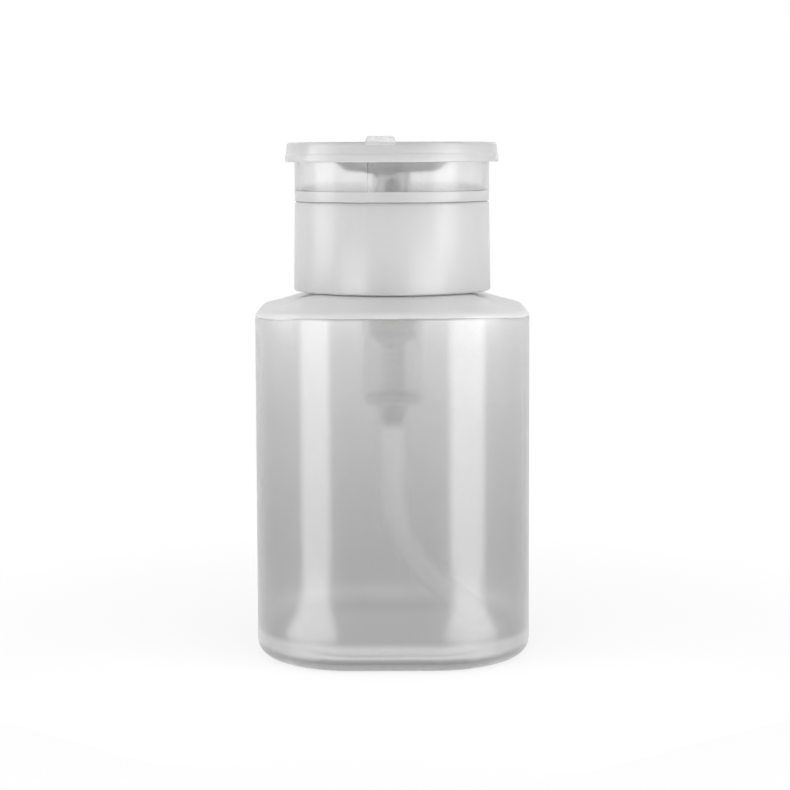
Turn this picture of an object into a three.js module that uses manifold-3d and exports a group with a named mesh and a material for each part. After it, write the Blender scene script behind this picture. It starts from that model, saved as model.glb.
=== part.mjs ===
// Press pump for nail polish remover: a rounded square bottle, a screw collar, a guide ring with
// a flip lid, and a dish on a sprung stem that pumps a little liquid up through its middle.
// Millimetres, +Z up. The origin is on the ground, under the axis of the neck.

import * as THREE from 'three';
import { mergeVertices, toCreasedNormals } from 'three/addons/utils/BufferGeometryUtils.js';
import Module from 'manifold-3d';

const wasm = await Module();
wasm.setup();

// Clearances shared by several pieces
const slideGap = 0.3;     // radial play of a piece that slides in another
const fitGap = 0.2;       // radial play of a piece that is pushed into another
const seatGap = 0.3;      // height left between two pieces that press on each other
const overrun = 0.5;      // how far a cutter or a joined root runs past the surface
const weldLength = 0.0005; // points closer than this are one point

// Bottle
const bodyHalf = 26.4;        // half the width of the square plan
const bodyCorner = 18.6;      // radius of the plan's corners
const bodyWall = 1.0;
const bodyStraight = 64.3;    // height where the shoulder's rounded edge starts
const heelRadius = 2.8;
const edgeRadius = 2.8;       // rounded edge between the side and the shoulder
const shoulderSlope = THREE.MathUtils.degToRad(14);
const landWidth = 3.4;        // flat standing face round the base
const recessWidth = 2.4;      // slope between the standing face and the recess
const recessDepth = 0.5;
const neckRadius = 14.8;      // neck without its thread
const neckWall = 2.0;
const neckHeight = 15.2;      // from the shoulder to the lip
const neckFillet = 1.0;
const lipChamfer = 0.35;

// Neck thread, 33 mm, one and a half turns
const threadPitch = 4.23;
const threadTurns = 1.5;
const threadDepth = 1.2;
const threadRoot = 2.3;       // width of a ridge where it leaves the wall
const threadCrest = 1.0;
const threadStart = 4.6;      // height of the bottle's ridge above the shoulder
const threadPlay = 0.35;      // radial play between a crest and the wall it faces
const collarTurns = 1.25;     // turns of the collar's ridge
const collarLead = 5 / 12;    // turn by which the collar's ridge starts later

// Screw collar
const collarWall = 2.65;
const collarDraft = 0.25;     // the collar widens by this much down to its open end
const collarWeb = 1.0;        // top web that presses the flange down
const collarRound = 0.5;
const shoulderGap = 0.8;      // the collar's open end stands this far above the shoulder

// Gasket, pump housing
const gasketThickness = 0.8;
const flangeThickness = 0.8;
const flangePlay = 1.0;       // between the flange and the collar's inner wall
const flangeLedge = 2.8;      // width of the flange under the collar's web
const turretWall = 1.0;
const turretRise = 0.7;       // the turret stands this far above the collar
const chamberRadius = 4.9;
const chamberWall = 1.0;
const chamberDepth = 37.7;    // from the collar's web down to the chamber's floor
const floorThickness = 0.9;
const ballRadius = 2.0;
const ballPlay = 0.35;        // radial play of the inlet ball in its pocket
const ballLift = 0.5;         // travel of the inlet ball
const ballSeat = 0.1;         // gap of a resting ball above its cone
const inletRadius = 1.2;
const hubRadius = 3.3;
const hubRound = 1.0;
const hubFloor = 0.5;         // height left under the foot of the ball's cone
const hubChamfer = 0.3;
const spigotRadius = 2.0;
const spigotLength = 3.4;
const spigotTaper = 0.25;
const ventRadius = 0.6;
const ventDrop = 4.0;         // centre of the vent below the flange

// Dip tube
const tubeWall = 0.45;
const tubeAngle = THREE.MathUtils.degToRad(50);
const tubeStraightShare = 0.31;  // of the drop from the housing to the floor
const tubeBendShare = 0.65;      // bend radius, of the same drop
const tubeEndGap = 0.45;

// Cage and spring
const cageThickness = 0.7;
const cageSlot = 0.9;
const cageReach = 1.9;
const wireRadius = 0.3;
const springRadius = 2.45;    // to the middle of the wire
const springTurns = 7;
const springGap = 0.05;       // between the end turns and what they stand on

// Stem, its foot, the piston and the lock sleeve
const stroke = 3.2;
const pistonHeight = 3.7;
const pistonLip = 0.8;
const pistonSlope = 0.4;      // height of the slope from a lip down to the waist
const pistonWaist = 0.6;
const stemRadius = 2.55;
const stemBore = 1.3;
const stemNeck = 0.45;        // the stem is thinner by this much inside the piston
const pistonRest = 12.0;      // from the chamber's floor up to the resting piston
const pistonGap = 0.1;
const footThickness = 0.8;
const footRadius = 3.3;
const footNose = 1.0;
const footBore = 0.6;
const plugLength = 3.0;
const sleeveFlange = 0.9;

// Top ring
const ringWall = 1.2;
const ringSeam = 0.3;         // open seam between the collar and the ring
const ringChamfer = 0.2;
const deckThickness = 1.0;
const skirtWall = 0.9;
const keyWidth = 5.4;
const keyDepth = 1.1;
const keyDrop = 0.8;          // the key ends this far below the ring's rim
const keyPlay = 0.4;

// Press dish and its nozzle
const strokeSpare = 0.2;
const dishFloor = 1.0;
const dishFlange = 0.8;
const dishPlay = 0.6;
const bowlDepth = 2.2;
const bowlFloorRadius = 8.3;
const bowlRimRadius = 11.4;
const bossRadius = 3.75;
const bossWall = 1.0;
const bossLength = 8.6;
const nozzleRadius = 3.6;
const nozzleHeight = 1.0;
const nozzleRound = 0.6;
const nozzleBore = 1.2;
const nozzleReach = 0.3;      // the shank ends this far below the dish's floor
const nozzleRoof = 0.6;
const outletRadius = 0.35;
const outletCircle = 0.75;
const outletCount = 3;
const outletBallRadius = 1.6;
const outletLift = 0.9;       // travel of the ball on top of the stem

// Flip lid
const rimRise = 1.4;          // the ring's rim above the dish
const lidThickness = 1.2;
const lidDepth = 2.6;         // from the underside of the lid to its open edge
const lidWall = 1.5;
const lidRound = 0.45;
const lidBead = 0.2;
const lidBeadHeight = 1.5;
const plugRadius = 3.7;
const plugWall = 1.0;
const tabWidth = 5.5;
const tabTop = 4.7;
const tabHeight = 1.0;
const tabDepth = 2.2;
const tabProud = 0.15;        // the tab stands out of the lid's side by this much

// Hinge
const hingeOffset = 0.8;      // the pin's axis behind the lid's side
const hingeRise = 0.1;        // the pin's axis above the lid's open edge
const pinRadius = 0.7;
const barrelWall = 0.7;
const barrelLength = 3.8;
const earWidth = 2.2;
const notchPlay = 0.5;
const stopDrop = 0.5;
const stopThickness = 1.2;
const stopPlay = 0.4;

// The closure is turned on the neck, and the dip tube is not
const closureTurn = THREE.MathUtils.degToRad(-6);

// Facets
const bodySides = 48;
const closureSides = 48;
const pumpSides = 24;
const threadSteps = 24;
const runoutSteps = 4;        // steps over which the end of a ridge fades into the wall
const springSteps = 8;
const springSides = 5;
const tubeSides = 10;
const holeSides = 16;
const ballSides = 16;
const ballRings = 10;
const tubeSteps = 24;
const arcSteps = 4;

// Heights, from the ground up
const edgeRise = edgeRadius * Math.cos(shoulderSlope);
const edgeInset = edgeRadius * (1 - Math.sin(shoulderSlope));
const shoulderRun = bodyHalf - edgeInset - neckRadius - neckFillet;
const neckFoot = bodyStraight + edgeRise + shoulderRun * Math.tan(shoulderSlope);
const neckTop = neckFoot + neckHeight;
const flangeBottom = neckTop + gasketThickness;
const flangeTop = flangeBottom + flangeThickness;
const webBottom = flangeTop + seatGap;
const collarTop = webBottom + collarWeb;
const collarBottom = neckFoot + shoulderGap;
const turretTop = collarTop + turretRise;
const ringBottom = collarTop + ringSeam;
const deckBottom = turretTop + fitGap;
const deckTop = deckBottom + deckThickness;
const dishBottom = deckTop + stroke + strokeSpare;
const dishInside = dishBottom + dishFloor;
const dishTop = dishInside + bowlDepth;
const ringTop = dishTop + rimRise;
const lidInside = ringTop + seatGap;
const lidTop = lidInside + lidThickness;
const lidEdge = lidInside - lidDepth;
const hingeHeight = lidEdge + hingeRise;
const chamberFloor = webBottom - chamberDepth;
const cageTop = chamberFloor + cageThickness;
const pistonBottom = chamberFloor + pistonRest;
const pistonTop = pistonBottom + pistonHeight;
const footTop = pistonBottom - pistonGap;
const footBottom = footTop - footThickness;
const sleeveBottom = pistonTop + seatGap;
const bossBottom = dishBottom - bossLength;
const stemBallSeat = Math.sqrt(outletBallRadius ** 2 - stemBore ** 2) + ballSeat;
const nozzleBallStop = Math.sqrt(outletBallRadius ** 2 - nozzleBore ** 2) + seatGap;
const nozzleBottom = dishBottom - nozzleReach;
const stemEnd = nozzleBottom - nozzleBallStop - outletLift - stemBallSeat;
const guideStep = bossBottom - stroke - strokeSpare - seatGap;

// Radii
const neckBore = neckRadius - neckWall;
const threadRadius = neckRadius + threadDepth;
const collarBore = threadRadius + threadPlay;
const collarRadius = collarBore + collarWall;
const flangeRadius = collarBore - flangePlay;
const turretRadius = flangeRadius - flangeLedge;
const turretBore = turretRadius - turretWall;
const webBore = turretRadius + slideGap;
const skirtRadius = turretBore - slideGap;
const skirtBore = skirtRadius - skirtWall;
const housingRadius = chamberRadius + chamberWall;
const ringBore = collarRadius - ringWall;
const lidBore = collarRadius + slideGap;
const lidRadius = lidBore + lidWall;
const tubeBore = spigotRadius + spigotTaper / 2;
const tubeRadius = tubeBore + tubeWall;
const pocketRadius = ballRadius + ballPlay;
const hingeReach = lidRadius + hingeOffset;
const pinBore = pinRadius + slideGap;
const barrelRadius = pinBore + barrelWall;

// The inlet ball rests on a cone of 45 degrees
const ballHeight = chamberFloor - ballLift - seatGap - ballRadius;
const coneTip = ballHeight - (ballRadius + ballSeat) * Math.SQRT2;
const coneFoot = coneTip + inletRadius;
const coneTop = coneTip + pocketRadius;
const spigotTop = coneFoot - hubFloor;
const spigotBottom = spigotTop - spigotLength;

// Materials
function plastic(color, roughness, opacity) {
  return new THREE.MeshStandardMaterial({
    color, roughness, metalness: 0, opacity, transparent: opacity < 1,
  });
}

function metal(color, roughness) {
  return new THREE.MeshStandardMaterial({ color, roughness, metalness: 1 });
}

const frostedBottle = plastic(0xd6d6d6, 0.45, 0.55);
const frostedClosure = plastic(0xe2e2e2, 0.4, 0.65);
const clearTube = plastic(0xe8e8e8, 0.35, 0.7);
const paleSeal = plastic(0xe6e6e4, 0.6, 1);
const steel = metal(0xb9bbbe, 0.25);

// Geometry helpers

// Joins the points that coincide, drops faces without area and turns the faces outward
function tidy(source) {
  const bare = source.index ? source.toNonIndexed() : source.clone();
  for (const name of Object.keys(bare.attributes)) {
    if (name !== 'position') bare.deleteAttribute(name);
  }
  const merged = mergeVertices(bare, weldLength);
  const place = merged.attributes.position;
  const index = [];
  let volume = 0;
  const a = new THREE.Vector3();
  const b = new THREE.Vector3();
  const c = new THREE.Vector3();
  for (let i = 0; i < merged.index.count; i += 3) {
    const [p, q, r] = [0, 1, 2].map((k) => merged.index.getX(i + k));
    if (p === q || q === r || r === p) continue;
    index.push(p, q, r);
    a.fromBufferAttribute(place, p);
    b.fromBufferAttribute(place, q);
    c.fromBufferAttribute(place, r);
    volume += a.dot(b.cross(c));
  }
  if (volume < 0) index.reverse();
  merged.setIndex(index);
  return merged;
}

function toSolid(geometry) {
  const clean = tidy(geometry);
  return new wasm.Manifold(new wasm.Mesh({
    numProp: 3,
    vertProperties: new Float32Array(clean.attributes.position.array),
    triVerts: new Uint32Array(clean.index.array),
  }));
}

function fromSolid(solid) {
  const mesh = solid.getMesh();
  const geometry = new THREE.BufferGeometry();
  geometry.setAttribute('position', new THREE.BufferAttribute(mesh.vertProperties, 3));
  geometry.setIndex(new THREE.BufferAttribute(mesh.triVerts, 1));
  return geometry;
}

function combine(base, { joined = [], cut = [] }) {
  let solid = toSolid(base);
  for (const piece of joined) solid = solid.add(toSolid(piece));
  for (const piece of cut) solid = solid.subtract(toSolid(piece));
  return fromSolid(solid);
}

// Turns a profile of [radius, height] pairs round the Z axis
function turned(profile, sides) {
  const points = profile.map(([radius, height]) => new THREE.Vector2(radius, height));
  const open = profile[0][0] === 0;
  if (!open) points.push(points[0].clone());
  return tidy(new THREE.LatheGeometry(points, sides).rotateX(Math.PI / 2));
}

// Skins a row of rings that all have the same number of points; a ring of one point is a pole
function lofted(rings, closed = false) {
  const points = [];
  const starts = rings.map((ring) => {
    const start = points.length / 3;
    for (const point of ring) points.push(point.x, point.y, point.z);
    return start;
  });
  const index = [];
  const spans = closed ? rings.length : rings.length - 1;
  for (let i = 0; i < spans; i += 1) {
    const next = (i + 1) % rings.length;
    const sides = Math.max(rings[i].length, rings[next].length);
    const at = (ring, k) => starts[ring] + (k % rings[ring].length);
    for (let k = 0; k < sides; k += 1) {
      if (rings[i].length > 1) index.push(at(i, k), at(i, k + 1), at(next, k));
      if (rings[next].length > 1) index.push(at(i, k + 1), at(next, k + 1), at(next, k));
    }
  }
  const geometry = new THREE.BufferGeometry();
  geometry.setAttribute('position', new THREE.Float32BufferAttribute(points, 3));
  geometry.setIndex(index);
  return tidy(geometry);
}

function box(width, depth, height, x, y, z) {
  return new THREE.BoxGeometry(width, depth, height).translate(x, y, z);
}

function rod(radius, length, sides) {
  return new THREE.CylinderGeometry(radius, radius, length, sides);
}

// A quarter turn of points, from share 0 to share 1
function sweep(steps, point) {
  return Array.from({ length: steps + 1 }, (_, k) => point((k / steps) * (Math.PI / 2)));
}

// Bottle: every ring is a rounded square, whose straight part fades out on the shoulder
function planRing(flat, corner, height) {
  return Array.from({ length: bodySides }, (_, k) => {
    const angle = ((k + 0.5) / bodySides) * 2 * Math.PI;
    const x = Math.sign(Math.cos(angle)) * flat + corner * Math.cos(angle);
    const y = Math.sign(Math.sin(angle)) * flat + corner * Math.sin(angle);
    return new THREE.Vector3(x, y, height);
  });
}

function bottleRings() {
  const flat = bodyHalf - bodyCorner;
  const square = (inset, height) => planRing(flat, bodyCorner - inset, height);
  const round = (radius, height) => planRing(0, radius, height);
  const pole = (height) => [new THREE.Vector3(0, 0, height)];
  const recessInset = heelRadius + landWidth + recessWidth;
  const innerHeel = heelRadius - bodyWall;
  const innerEdge = edgeRadius - bodyWall;
  return [
    pole(recessDepth),
    square(recessInset, recessDepth),
    square(heelRadius + landWidth, 0),
    ...sweep(arcSteps, (turn) => square(
      heelRadius * (1 - Math.sin(turn)), heelRadius * (1 - Math.cos(turn)),
    )),
    ...sweep(arcSteps, (turn) => {
      const lean = turn * (1 - shoulderSlope / (Math.PI / 2));
      return square(edgeRadius * (1 - Math.cos(lean)), bodyStraight + edgeRadius * Math.sin(lean));
    }),
    round(neckRadius + neckFillet, neckFoot),
    round(neckRadius + neckFillet * (1 - Math.SQRT1_2), neckFoot + neckFillet * (1 - Math.SQRT1_2)),
    round(neckRadius, neckFoot + neckFillet),
    round(neckRadius, neckTop - lipChamfer),
    round(neckRadius - lipChamfer, neckTop),
    round(neckBore + lipChamfer, neckTop),
    round(neckBore, neckTop - lipChamfer),
    round(neckBore, neckFoot - bodyWall + neckFillet),
    round(neckBore + neckFillet, neckFoot - bodyWall),
    ...sweep(arcSteps, (turn) => {
      const lean = (Math.PI / 2 - turn) * (1 - shoulderSlope / (Math.PI / 2));
      const inset = bodyWall + innerEdge * (1 - Math.cos(lean));
      return square(inset, bodyStraight + innerEdge * Math.sin(lean));
    }),
    ...sweep(arcSteps, (turn) => square(
      bodyWall + innerHeel * (1 - Math.cos(turn)), heelRadius - innerHeel * Math.sin(turn),
    )),
    square(heelRadius + landWidth, bodyWall),
    square(recessInset, bodyWall + recessDepth),
    pole(bodyWall + recessDepth),
  ];
}

// A thread's ridge: crest and root are radii, and the ends run out into the wall
function threadRidge({ root, crest, height, start, turns }) {
  const steps = Math.round(turns * threadSteps);
  const rings = [];
  for (let k = 0; k <= steps; k += 1) {
    const angle = start + (k / threadSteps) * 2 * Math.PI;
    const middle = height + threadPitch * (k / threadSteps);
    const runout = Math.min(1, (k + 1) / runoutSteps, (steps - k + 1) / runoutSteps);
    const tip = root + (crest - root) * runout;
    const into = root - Math.sign(crest - root) * overrun;
    const section = [
      [into, -threadRoot / 2], [root, -threadRoot / 2], [tip, -threadCrest / 2],
      [tip, threadCrest / 2], [root, threadRoot / 2], [into, threadRoot / 2],
    ];
    rings.push(section.map(([radius, rise]) => new THREE.Vector3(
      radius * Math.cos(angle), radius * Math.sin(angle), middle + rise,
    )));
  }
  const centre = (ring) => [ring.reduce((sum, point) => sum.add(point), new THREE.Vector3())
    .divideScalar(ring.length)];
  return lofted([centre(rings[0]), ...rings, centre(rings[steps])]);
}

function bottle() {
  const ridge = threadRidge({
    root: neckRadius,
    crest: threadRadius,
    height: neckFoot + threadStart,
    start: 0,
    turns: threadTurns,
  });
  return combine(lofted(bottleRings()), { joined: [ridge] });
}

function neckGasket() {
  return turned([
    [neckBore + lipChamfer, neckTop], [flangeRadius, neckTop],
    [flangeRadius, flangeBottom], [neckBore + lipChamfer, flangeBottom],
  ], closureSides);
}

// Screw collar: its ridge lies half a pitch below the bottle's ridge
function screwCollar() {
  const shell = turned([
    [collarRadius + collarDraft, collarBottom],
    [collarRadius, collarTop - collarRound],
    [collarRadius - collarRound, collarTop],
    [webBore, collarTop],
    [webBore, webBottom],
    [collarBore, webBottom],
    [collarBore, collarBottom + collarRound],
    [collarBore + collarRound, collarBottom],
  ], closureSides);
  const ridge = threadRidge({
    root: collarBore,
    crest: neckRadius + threadPlay,
    height: neckFoot + threadStart + threadPitch * (collarLead - 1 / 2),
    start: collarLead * 2 * Math.PI,
    turns: collarTurns,
  });
  return combine(shell, { joined: [ridge] });
}

function pumpHousing() {
  const floorBottom = chamberFloor - floorThickness;
  const shell = turned([
    [chamberRadius, flangeTop],
    [turretBore, flangeTop],
    [turretBore, turretTop],
    [turretRadius, turretTop],
    [turretRadius, flangeTop],
    [flangeRadius, flangeTop],
    [flangeRadius, flangeBottom],
    [housingRadius, flangeBottom],
    [housingRadius, floorBottom + hubRound],
    [housingRadius - hubRound, floorBottom],
    [hubRadius + hubRound, floorBottom],
    [hubRadius, floorBottom - hubRound],
    [hubRadius, spigotTop + hubChamfer],
    [hubRadius - hubChamfer, spigotTop],
    [spigotRadius, spigotTop],
    [spigotRadius, spigotBottom + hubRound],
    [spigotRadius - spigotTaper, spigotBottom],
    [inletRadius, spigotBottom],
    [inletRadius, coneFoot],
    [pocketRadius, coneTop],
    [pocketRadius, chamberFloor],
    [chamberRadius, chamberFloor],
  ], pumpSides);
  const vent = rod(ventRadius, chamberWall + overrun * 2, holeSides / 2)
    .rotateZ(Math.PI / 2)
    .translate(chamberRadius + chamberWall / 2, 0, flangeBottom - ventDrop);
  return combine(shell, { cut: [vent] });
}

// Lock sleeve: closes the housing, guides the stem and stops the piston at the top
function lockSleeve() {
  const outer = chamberRadius - fitGap;
  const wide = bossRadius + slideGap;
  const narrow = stemRadius + slideGap;
  const top = flangeTop + sleeveFlange;
  return turned([
    [narrow, sleeveBottom],
    [outer, sleeveBottom],
    [outer, flangeTop],
    [skirtBore - slideGap, flangeTop],
    [skirtBore - slideGap, top],
    [wide, top],
    [wide, guideStep],
    [narrow, guideStep],
  ], pumpSides);
}

function inletBall() {
  return new THREE.SphereGeometry(ballRadius, ballSides, ballRings).rotateX(Math.PI / 2)
    .translate(0, 0, ballHeight);
}

function outletBall() {
  return new THREE.SphereGeometry(outletBallRadius, ballSides, ballRings).rotateX(Math.PI / 2)
    .translate(0, 0, stemEnd + stemBallSeat);
}

// Ball cage: a disc whose cross-shaped opening lets liquid past the lifted ball
function ballCage() {
  const disc = new THREE.Shape();
  disc.absarc(0, 0, chamberRadius - fitGap, 0, 2 * Math.PI);
  const half = cageSlot / 2;
  const corners = [[cageReach, -half], [cageReach, half], [half, half]];
  const cross = [];
  for (let arm = 0; arm < 4; arm += 1) {
    for (const [x, y] of corners) {
      cross.push(new THREE.Vector2(x, y).rotateAround(new THREE.Vector2(), arm * (Math.PI / 2)));
    }
  }
  disc.holes.push(new THREE.Path(cross));
  return new THREE.ExtrudeGeometry(disc, {
    depth: cageThickness, bevelEnabled: false, curveSegments: pumpSides / 2,
  }).translate(0, 0, chamberFloor);
}

// Return spring: one unbroken helix between the cage and the stem's foot
function springPoints(perTurn) {
  const low = cageTop + wireRadius + springGap;
  const high = footBottom - wireRadius - springGap;
  const count = springTurns * perTurn;
  return Array.from({ length: count + 1 }, (_, k) => {
    const angle = (k / perTurn) * 2 * Math.PI;
    return new THREE.Vector3(
      springRadius * Math.cos(angle), springRadius * Math.sin(angle), low + (high - low) * (k / count),
    );
  });
}

function returnSpring() {
  const points = springPoints(springSteps);
  const rings = points.map((point, k) => {
    const angle = (k / springSteps) * 2 * Math.PI;
    const outward = new THREE.Vector3(Math.cos(angle), Math.sin(angle), 0);
    return Array.from({ length: springSides }, (_, s) => {
      const turn = (s / springSides) * 2 * Math.PI;
      return point.clone()
        .addScaledVector(outward, wireRadius * Math.cos(turn))
        .add(new THREE.Vector3(0, 0, wireRadius * Math.sin(turn)));
    });
  });
  return lofted([[points[0]], ...rings, [points[points.length - 1]]]);
}

function springLeastGap() {
  const points = springPoints(springSteps);
  let least = Infinity;
  for (let i = 0; i < points.length; i += 1) {
    for (let j = i + springSteps - 1; j < points.length; j += 1) {
      least = Math.min(least, points[i].distanceTo(points[j]) - 2 * wireRadius);
    }
  }
  return least;
}

function stem() {
  const neck = stemRadius - stemNeck;
  return turned([
    [stemBore, pistonBottom],
    [neck, pistonBottom],
    [neck, pistonTop + pistonGap],
    [stemRadius, pistonTop + pistonGap],
    [stemRadius, stemEnd],
    [stemBore, stemEnd],
  ], pumpSides);
}

function piston() {
  const bore = stemRadius - stemNeck + fitGap;
  const lip = chamberRadius - fitGap;
  const waist = lip - pistonWaist;
  return turned([
    [bore, pistonBottom],
    [lip - pistonLip, pistonBottom],
    [lip, pistonBottom],
    [lip, pistonBottom + pistonLip],
    [waist, pistonBottom + pistonLip + pistonSlope],
    [waist, pistonTop - pistonLip - pistonSlope],
    [lip, pistonTop - pistonLip],
    [lip, pistonTop],
    [bore, pistonTop],
  ], pumpSides);
}

function stemFoot() {
  const plug = stemBore - fitGap;
  const nose = springRadius - wireRadius - slideGap;
  return turned([
    [footBore, footBottom - footNose],
    [nose - fitGap, footBottom - footNose],
    [nose, footBottom],
    [footRadius, footBottom],
    [footRadius, footTop],
    [plug, footTop],
    [plug, footTop + plugLength],
    [footBore, footTop + plugLength],
  ], pumpSides);
}

// Dip tube: straight down, round one bend, then straight into the bottle's low corner
class DipPath extends THREE.Curve {
  constructor(top, bottom) {
    super();
    const drop = top - bottom;
    this.top = top;
    this.straight = drop * tubeStraightShare;
    this.bend = drop * tubeBendShare;
    this.arc = this.bend * tubeAngle;
    this.tail = (drop - this.straight - this.bend * Math.sin(tubeAngle)) / Math.cos(tubeAngle);
  }

  getPoint(share, target = new THREE.Vector3()) {
    const run = share * (this.straight + this.arc + this.tail);
    const turn = THREE.MathUtils.clamp((run - this.straight) / this.bend, 0, tubeAngle);
    const rest = Math.max(0, run - this.straight - this.arc);
    return target.set(
      this.bend * (1 - Math.cos(turn)) + rest * Math.sin(tubeAngle),
      0,
      this.top - Math.min(run, this.straight) - this.bend * Math.sin(turn)
        - rest * Math.cos(tubeAngle),
    );
  }
}

function dipTube() {
  const top = spigotTop - seatGap;
  const bottom = bodyWall + recessDepth + tubeEndGap + tubeRadius * Math.sin(tubeAngle);
  const section = new THREE.Shape();
  section.absarc(0, 0, tubeRadius, 0, 2 * Math.PI);
  const bore = new THREE.Path();
  bore.absarc(0, 0, tubeBore, 0, 2 * Math.PI, true);
  section.holes.push(bore);
  return new THREE.ExtrudeGeometry(section, {
    steps: tubeSteps,
    curveSegments: tubeSides / 2,
    extrudePath: new DipPath(top, bottom),
  });
}

// Top ring: outer wall, deck plate, the skirt that plugs into the turret, key, ears and stop
function sidePlate(outline, width, x) {
  const shape = new THREE.Shape(outline.map(([y, z]) => new THREE.Vector2(y, z)));
  return new THREE.ExtrudeGeometry(shape, { depth: width, bevelEnabled: false })
    .rotateY(Math.PI / 2)
    .rotateX(Math.PI / 2)
    .translate(x - width / 2, 0, 0);
}

function roundEnd(from, to) {
  return Array.from({ length: holeSides / 2 + 1 }, (_, k) => {
    const angle = from + (to - from) * (k / (holeSides / 2));
    return [
      hingeReach + barrelRadius * Math.cos(angle),
      hingeHeight + barrelRadius * Math.sin(angle),
    ];
  });
}

function topRing() {
  const shell = turned([
    [collarRadius, ringBottom],
    [collarRadius, ringTop - ringChamfer],
    [collarRadius - ringChamfer, ringTop],
    [ringBore, ringTop],
    [ringBore, deckTop],
    [bossRadius + slideGap, deckTop],
    [bossRadius + slideGap, deckBottom],
    [skirtBore, deckBottom],
    [skirtBore, flangeTop + seatGap],
    [skirtRadius, flangeTop + seatGap],
    [skirtRadius, deckBottom],
    [ringBore, deckBottom],
    [ringBore, ringBottom],
  ], closureSides);
  const keyTop = ringTop - keyDrop;
  const key = box(
    keyWidth, keyDepth + overrun, keyTop - deckTop + overrun,
    0, -(ringBore - keyDepth + (keyDepth + overrun) / 2), (keyTop + deckTop - overrun) / 2,
  );
  const earPlace = barrelLength / 2 + slideGap + earWidth / 2;
  const earEdge = earPlace + earWidth / 2;
  const rootReach = Math.sqrt(collarRadius ** 2 - earEdge ** 2) - overrun;
  const earOutline = [
    [rootReach, hingeHeight - barrelRadius],
    ...roundEnd(-Math.PI / 2, Math.PI / 2),
    [rootReach, hingeHeight + barrelRadius],
  ];
  const stopTop = hingeHeight - barrelRadius - stopDrop;
  const stopReach = hingeReach - stopPlay;
  const earFoot = box(
    earEdge * 2, stopReach - rootReach, stopThickness,
    0, (stopReach + rootReach) / 2, stopTop - stopThickness / 2,
  );
  const cheeks = [-1, 1].map((side) => box(
    earWidth, stopReach - rootReach, hingeHeight - stopTop + stopThickness,
    side * earPlace, (stopReach + rootReach) / 2, (hingeHeight + stopTop - stopThickness) / 2,
  ));
  const ears = [-1, 1].map((side) => sidePlate(earOutline, earWidth, side * earPlace));
  const pinHole = rod(pinBore, (earPlace + earWidth) * 2, holeSides)
    .rotateZ(Math.PI / 2)
    .translate(0, hingeReach, hingeHeight);
  return combine(shell, { joined: [key, earFoot, ...cheeks, ...ears], cut: [pinHole] });
}

function hingePin() {
  const length = barrelLength + 2 * slideGap + 2 * earWidth;
  return rod(pinRadius, length, holeSides)
    .rotateZ(Math.PI / 2)
    .translate(0, hingeReach, hingeHeight);
}

function pressDish() {
  const flangeEdge = ringBore - dishPlay;
  const bend = (dishTop - dishInside) / 3;
  const shell = turned([
    [bossRadius - bossWall, bossBottom],
    [bossRadius, bossBottom],
    [bossRadius, dishBottom],
    [bowlFloorRadius + dishFloor - bend, dishBottom],
    [bowlFloorRadius + dishFloor, dishBottom + bend],
    [bowlRimRadius + dishFlange / 2, dishTop - dishFlange],
    [flangeEdge, dishTop - dishFlange],
    [flangeEdge, dishTop],
    [bowlRimRadius + dishFlange / 2, dishTop],
    [bowlRimRadius, dishTop - dishFlange / 2],
    [bowlFloorRadius + bend, dishInside + bend / 2],
    [bowlFloorRadius, dishInside],
    [bossRadius - bossWall, dishInside],
  ], closureSides);
  const notchReach = ringBore - keyDepth - keyPlay;
  const notch = box(
    keyWidth + keyPlay * 2, flangeEdge + overrun - notchReach, dishFlange + overrun * 2,
    0, -(flangeEdge + overrun + notchReach) / 2, dishTop - dishFlange / 2,
  );
  return combine(shell, { cut: [notch] });
}

function nozzleInsert() {
  const shank = bossRadius - bossWall - fitGap;
  const under = dishInside + seatGap;
  const top = under + nozzleHeight;
  const shell = turned([
    [0, top - nozzleRoof],
    [nozzleBore, top - nozzleRoof],
    [nozzleBore, nozzleBottom],
    [shank, nozzleBottom],
    [shank, under],
    [nozzleRadius, under],
    [nozzleRadius, top - nozzleRound],
    [nozzleRadius - nozzleRound, top],
    [0, top],
  ], pumpSides);
  const holes = Array.from({ length: outletCount }, (_, k) => {
    const angle = (k / outletCount) * 2 * Math.PI;
    return rod(outletRadius, nozzleRoof + overrun, holeSides / 2)
      .rotateX(Math.PI / 2)
      .translate(
        outletCircle * Math.cos(angle), outletCircle * Math.sin(angle), top - nozzleRoof / 2,
      );
  });
  return combine(shell, { cut: holes });
}

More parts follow.
